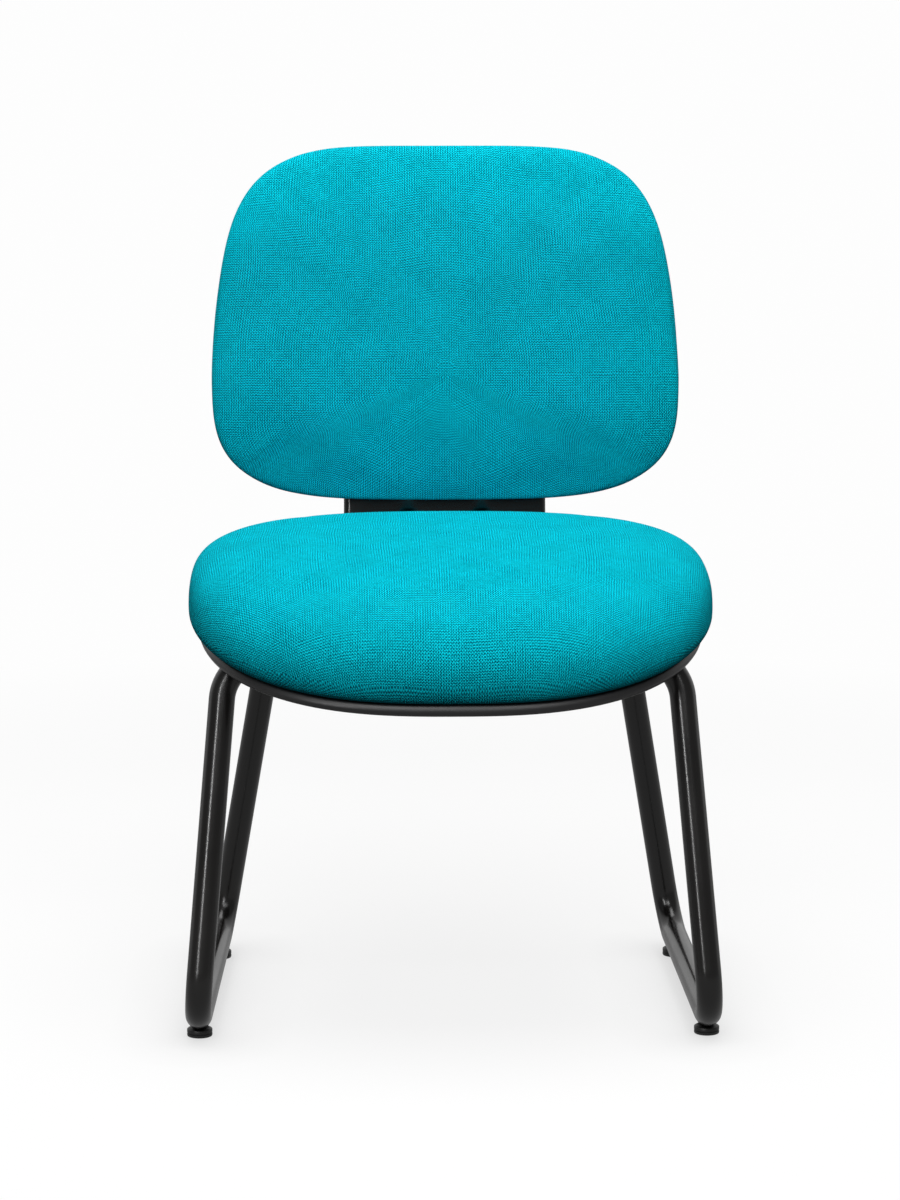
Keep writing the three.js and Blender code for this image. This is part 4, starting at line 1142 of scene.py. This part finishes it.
def make_bolt(name, node, place, length):
    """A button head socket screw."""
    bolt = turned_piece(name, bolt_profile(length), BLACK_OXIDE, place)
    socket = cylinder_mesh(2.9, -BOLT_HEAD_HEIGHT - 2, -1.6, place, 6)
    carve(bolt, [socket])
    stands_for(bolt, "black_screw", node)


def make_pan_screw(name, node, place):
    """A small pan head screw with a crossed recess."""
    profile = [
        (0, -SCREW_HEAD_HEIGHT), (1.6, -SCREW_HEAD_HEIGHT + 0.05), (2.6, -SCREW_HEAD_HEIGHT + 0.3),
        (3.5, -1.2), (SCREW_HEAD_RADIUS, -0.2), (SCREW_HEAD_RADIUS, 0), (SCREW_RADIUS, 0),
        (SCREW_RADIUS, SCREW_LENGTH - 3), (0.4, SCREW_LENGTH), (0, SCREW_LENGTH),
    ]
    screw = turned_piece(name, profile, BLACK_OXIDE, place)
    slots = []
    for half_x, half_y in ((2.1, 0.45), (0.45, 2.1)):
        corners, faces = box_mesh((-half_x, -half_y, -4), (half_x, half_y, -0.9))
        slots.append(([place @ Vector(c) for c in corners], faces))
    for slot in slots:
        carve(screw, [slot])
    stands_for(screw, "black_screw", node)


def make_fasteners():
    seat = RAIL_BOTTOM - GAP
    length = SEAT_BOARD_TOP - BOLT_TIP_GAP - seat
    for group, places in (("seat", RAIL_BOLTS), ("upright", FOOT_BOLTS)):
        for x, y, side_name, end in places:
            corner = f"{('front', 'rear')[end]}_{side_name}"
            make_bolt(f"{group}_screw_{corner}", f"{group}_bolt_{corner}", at(x, y, seat), length)
    back_seat = UPRIGHT_FRONT - PLATE - GAP
    back_length = BACK_BOARD - BOLT_TIP_GAP - back_seat
    for x, rise, side_name, end in BACK_BOLTS:
        corner = f"{('lower', 'upper')[end]}_{side_name}"
        make_bolt(f"back_screw_{corner}", f"back_bolt_{corner}", at_back(x, rise, back_seat), back_length)
    for x, y, side_name, end in PAN_SCREWS:
        corner = f"{('front', 'rear')[end]}_{side_name}"
        make_pan_screw(f"cover_screw_{corner}", f"pan_screw_{corner}", at(x, y, PAN_UNDERSIDE - GAP))


def finish_hidden_nodes():
    """The pieces that stay as the model has them get their metal."""
    for name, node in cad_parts.items():
        if "tee_nut" in name or name.startswith("joining_sleeve"):
            node.data.materials.clear()
            node.data.materials.append(ZINC)


# Room, light and camera
FLOOR_SIZE = 60.0
CAMERA_DISTANCE = 4.4
CAMERA_AZIMUTH = math.radians(-1.2)
CAMERA_ELEVATION = math.radians(10)
CAMERA_TARGET = Vector((0, -0.0486, 0.3972))
FOCAL_PIXELS = 4464.6
PHOTO_HEIGHT = 1200
SENSOR = 36.0


def make_floor():
    """A white floor. Near the chair the camera sees the shadow that the lamps cast, deepened by a painted contact
    shadow near the feet, and far off it is as white as the backdrop.
    """
    mesh = bpy.data.meshes.new("floor")
    half = FLOOR_SIZE / 2
    mesh.from_pydata([(-half, -half, 0), (half, -half, 0), (half, half, 0), (-half, half, 0)], [], [(0, 1, 2, 3)])
    floor = bpy.data.objects.new("floor", mesh)
    bpy.context.scene.collection.objects.link(floor)
    shader = Shader("floor")
    distance = shader.add("VectorMath", operation="LENGTH", i0=shader.place())
    far = shader.spread(distance.outputs["Value"], SHADOW_REACH, 1.6 * SHADOW_REACH)
    lit = shader.add("BsdfDiffuse", Color=(SHADOW_SHARE, SHADOW_SHARE, SHADOW_SHARE, 1))
    # Painted contact shadow: ambient occlusion dims the floor's glow where the runners and glides come close to it
    painted_shade_mask = shader.add("AmbientOcclusion", samples=8, Distance=PAINTED_CONTACT_SHADE_REACH).outputs["AO"]
    fill_strength_with_painted_shade = shader.spread(painted_shade_mask, 0, 1, SHADOW_FILL - PAINTED_CONTACT_SHADE, SHADOW_FILL)
    fill_glow_with_painted_shade = shader.add("Emission", Color=(1, 1, 1, 1), Strength=fill_strength_with_painted_shade)
    near = shader.add("AddShader", i0=lit.outputs[0], i1=fill_glow_with_painted_shade.outputs[0])
    white = shader.add("Emission", Color=(1, 1, 1, 1), Strength=WHITE)
    seen = shader.add("MixShader", i0=far, i1=near.outputs[0], i2=white.outputs[0])
    bounce = shader.add("BsdfDiffuse", Color=(FLOOR_BOUNCE, FLOOR_BOUNCE, FLOOR_BOUNCE, 1))
    mirrored = shader.add("Emission", Color=(1, 1, 1, 1), Strength=FLOOR_MIRRORED)
    path = shader.add("LightPath")
    unseen = shader.add("MixShader", i0=path.outputs["Is Glossy Ray"], i1=bounce.outputs[0], i2=mirrored.outputs[0])
    chosen = shader.add("MixShader", i0=path.outputs["Is Camera Ray"], i1=unseen.outputs[0], i2=seen.outputs[0])
    shader.tree.links.new(chosen.outputs[0], shader.tree.nodes["Material Output"].inputs["Surface"])
    shader.tree.nodes.remove(shader.surface)
    mesh.materials.append(shader.material)


WHITE = 0.985
SHADOW_REACH = 1.1
SHADOW_SHARE = 0.155
SHADOW_FILL = 0.845
# The painted contact shadow's reach in metres, and how much of the floor's glow it takes away
PAINTED_CONTACT_SHADE_REACH = 0.08
PAINTED_CONTACT_SHADE = 0.3
FLOOR_BOUNCE = 0.03
FLOOR_MIRRORED = 0.42
WORLD_LIGHT = 0.12
BACKDROP_EDGE = 0.05
BACKDROP_MIRRORED = 0.8
FRONT_MIRRORED = 0.25


def make_world():
    """Soft light from all round. The camera sees it white, and gloss sees it bright only behind the chair."""
    world = bpy.data.worlds.new("studio")
    bpy.context.scene.world = world
    shader = Shader("studio", world)
    direction = shader.add("SeparateXYZ", Vector=shader.add("NewGeometry").outputs["Position"])
    edge = BACKDROP_EDGE
    mirrored = shader.spread(direction.outputs["Y"], edge, edge + 0.3, FRONT_MIRRORED, BACKDROP_MIRRORED)
    path = shader.add("LightPath")
    unseen = shader.spread(path.outputs["Is Glossy Ray"], 0, 1, WORLD_LIGHT, mirrored)
    strength = shader.spread(path.outputs["Is Camera Ray"], 0, 1, unseen, WHITE)
    shader.finish(Color=(1, 1, 1, 1), Strength=strength)


def softbox(name, place, aim, size, power, on_gloss_alone=False):
    data = bpy.data.lights.new(name, "AREA")
    data.shape = "RECTANGLE"
    data.size, data.size_y = size
    data.energy = power
    lamp = bpy.data.objects.new(name, data)
    lamp.location = place
    lamp.rotation_mode = "QUATERNION"
    lamp.rotation_quaternion = (Vector(aim) - Vector(place)).to_track_quat("-Z", "Y")
    lamp.visible_camera = False
    lamp.visible_diffuse = not on_gloss_alone
    bpy.context.scene.collection.objects.link(lamp)


def make_lights():
    softbox("overhead", (0, -0.1, 2.9), (0, 0, 0.4), (2.6, 2.0), 70)
    softbox("front_high", (0, -3.5, 2.9), (0, 0, 0.4), (2.6, 1.2), 64)
    softbox("strip_left", (-1.5, -2.7, 1.35), (0, 0, 0.3), (0.1, 1.3), 22, on_gloss_alone=True)


def make_camera():
    data = bpy.data.cameras.new("camera")
    data.sensor_width = SENSOR
    data.lens = FOCAL_PIXELS / PHOTO_HEIGHT * SENSOR
    data.clip_end = 200
    camera = bpy.data.objects.new("camera", data)
    across = math.cos(CAMERA_ELEVATION)
    back = Vector((
        math.sin(CAMERA_AZIMUTH) * across,
        -math.cos(CAMERA_AZIMUTH) * across,
        math.sin(CAMERA_ELEVATION),
    ))
    camera.location = CAMERA_TARGET + back * CAMERA_DISTANCE
    camera.rotation_mode = "QUATERNION"
    camera.rotation_quaternion = (-back).to_track_quat("-Z", "Y")
    bpy.context.scene.collection.objects.link(camera)
    bpy.context.scene.camera = camera


make_frame()
make_pan()
make_shell()
make_upright()
make_fasteners()
make_soft_pieces()
finish_hidden_nodes()
make_floor()
make_world()
make_lights()
make_camera()
bpy.context.scene.view_settings.view_transform = "Standard"
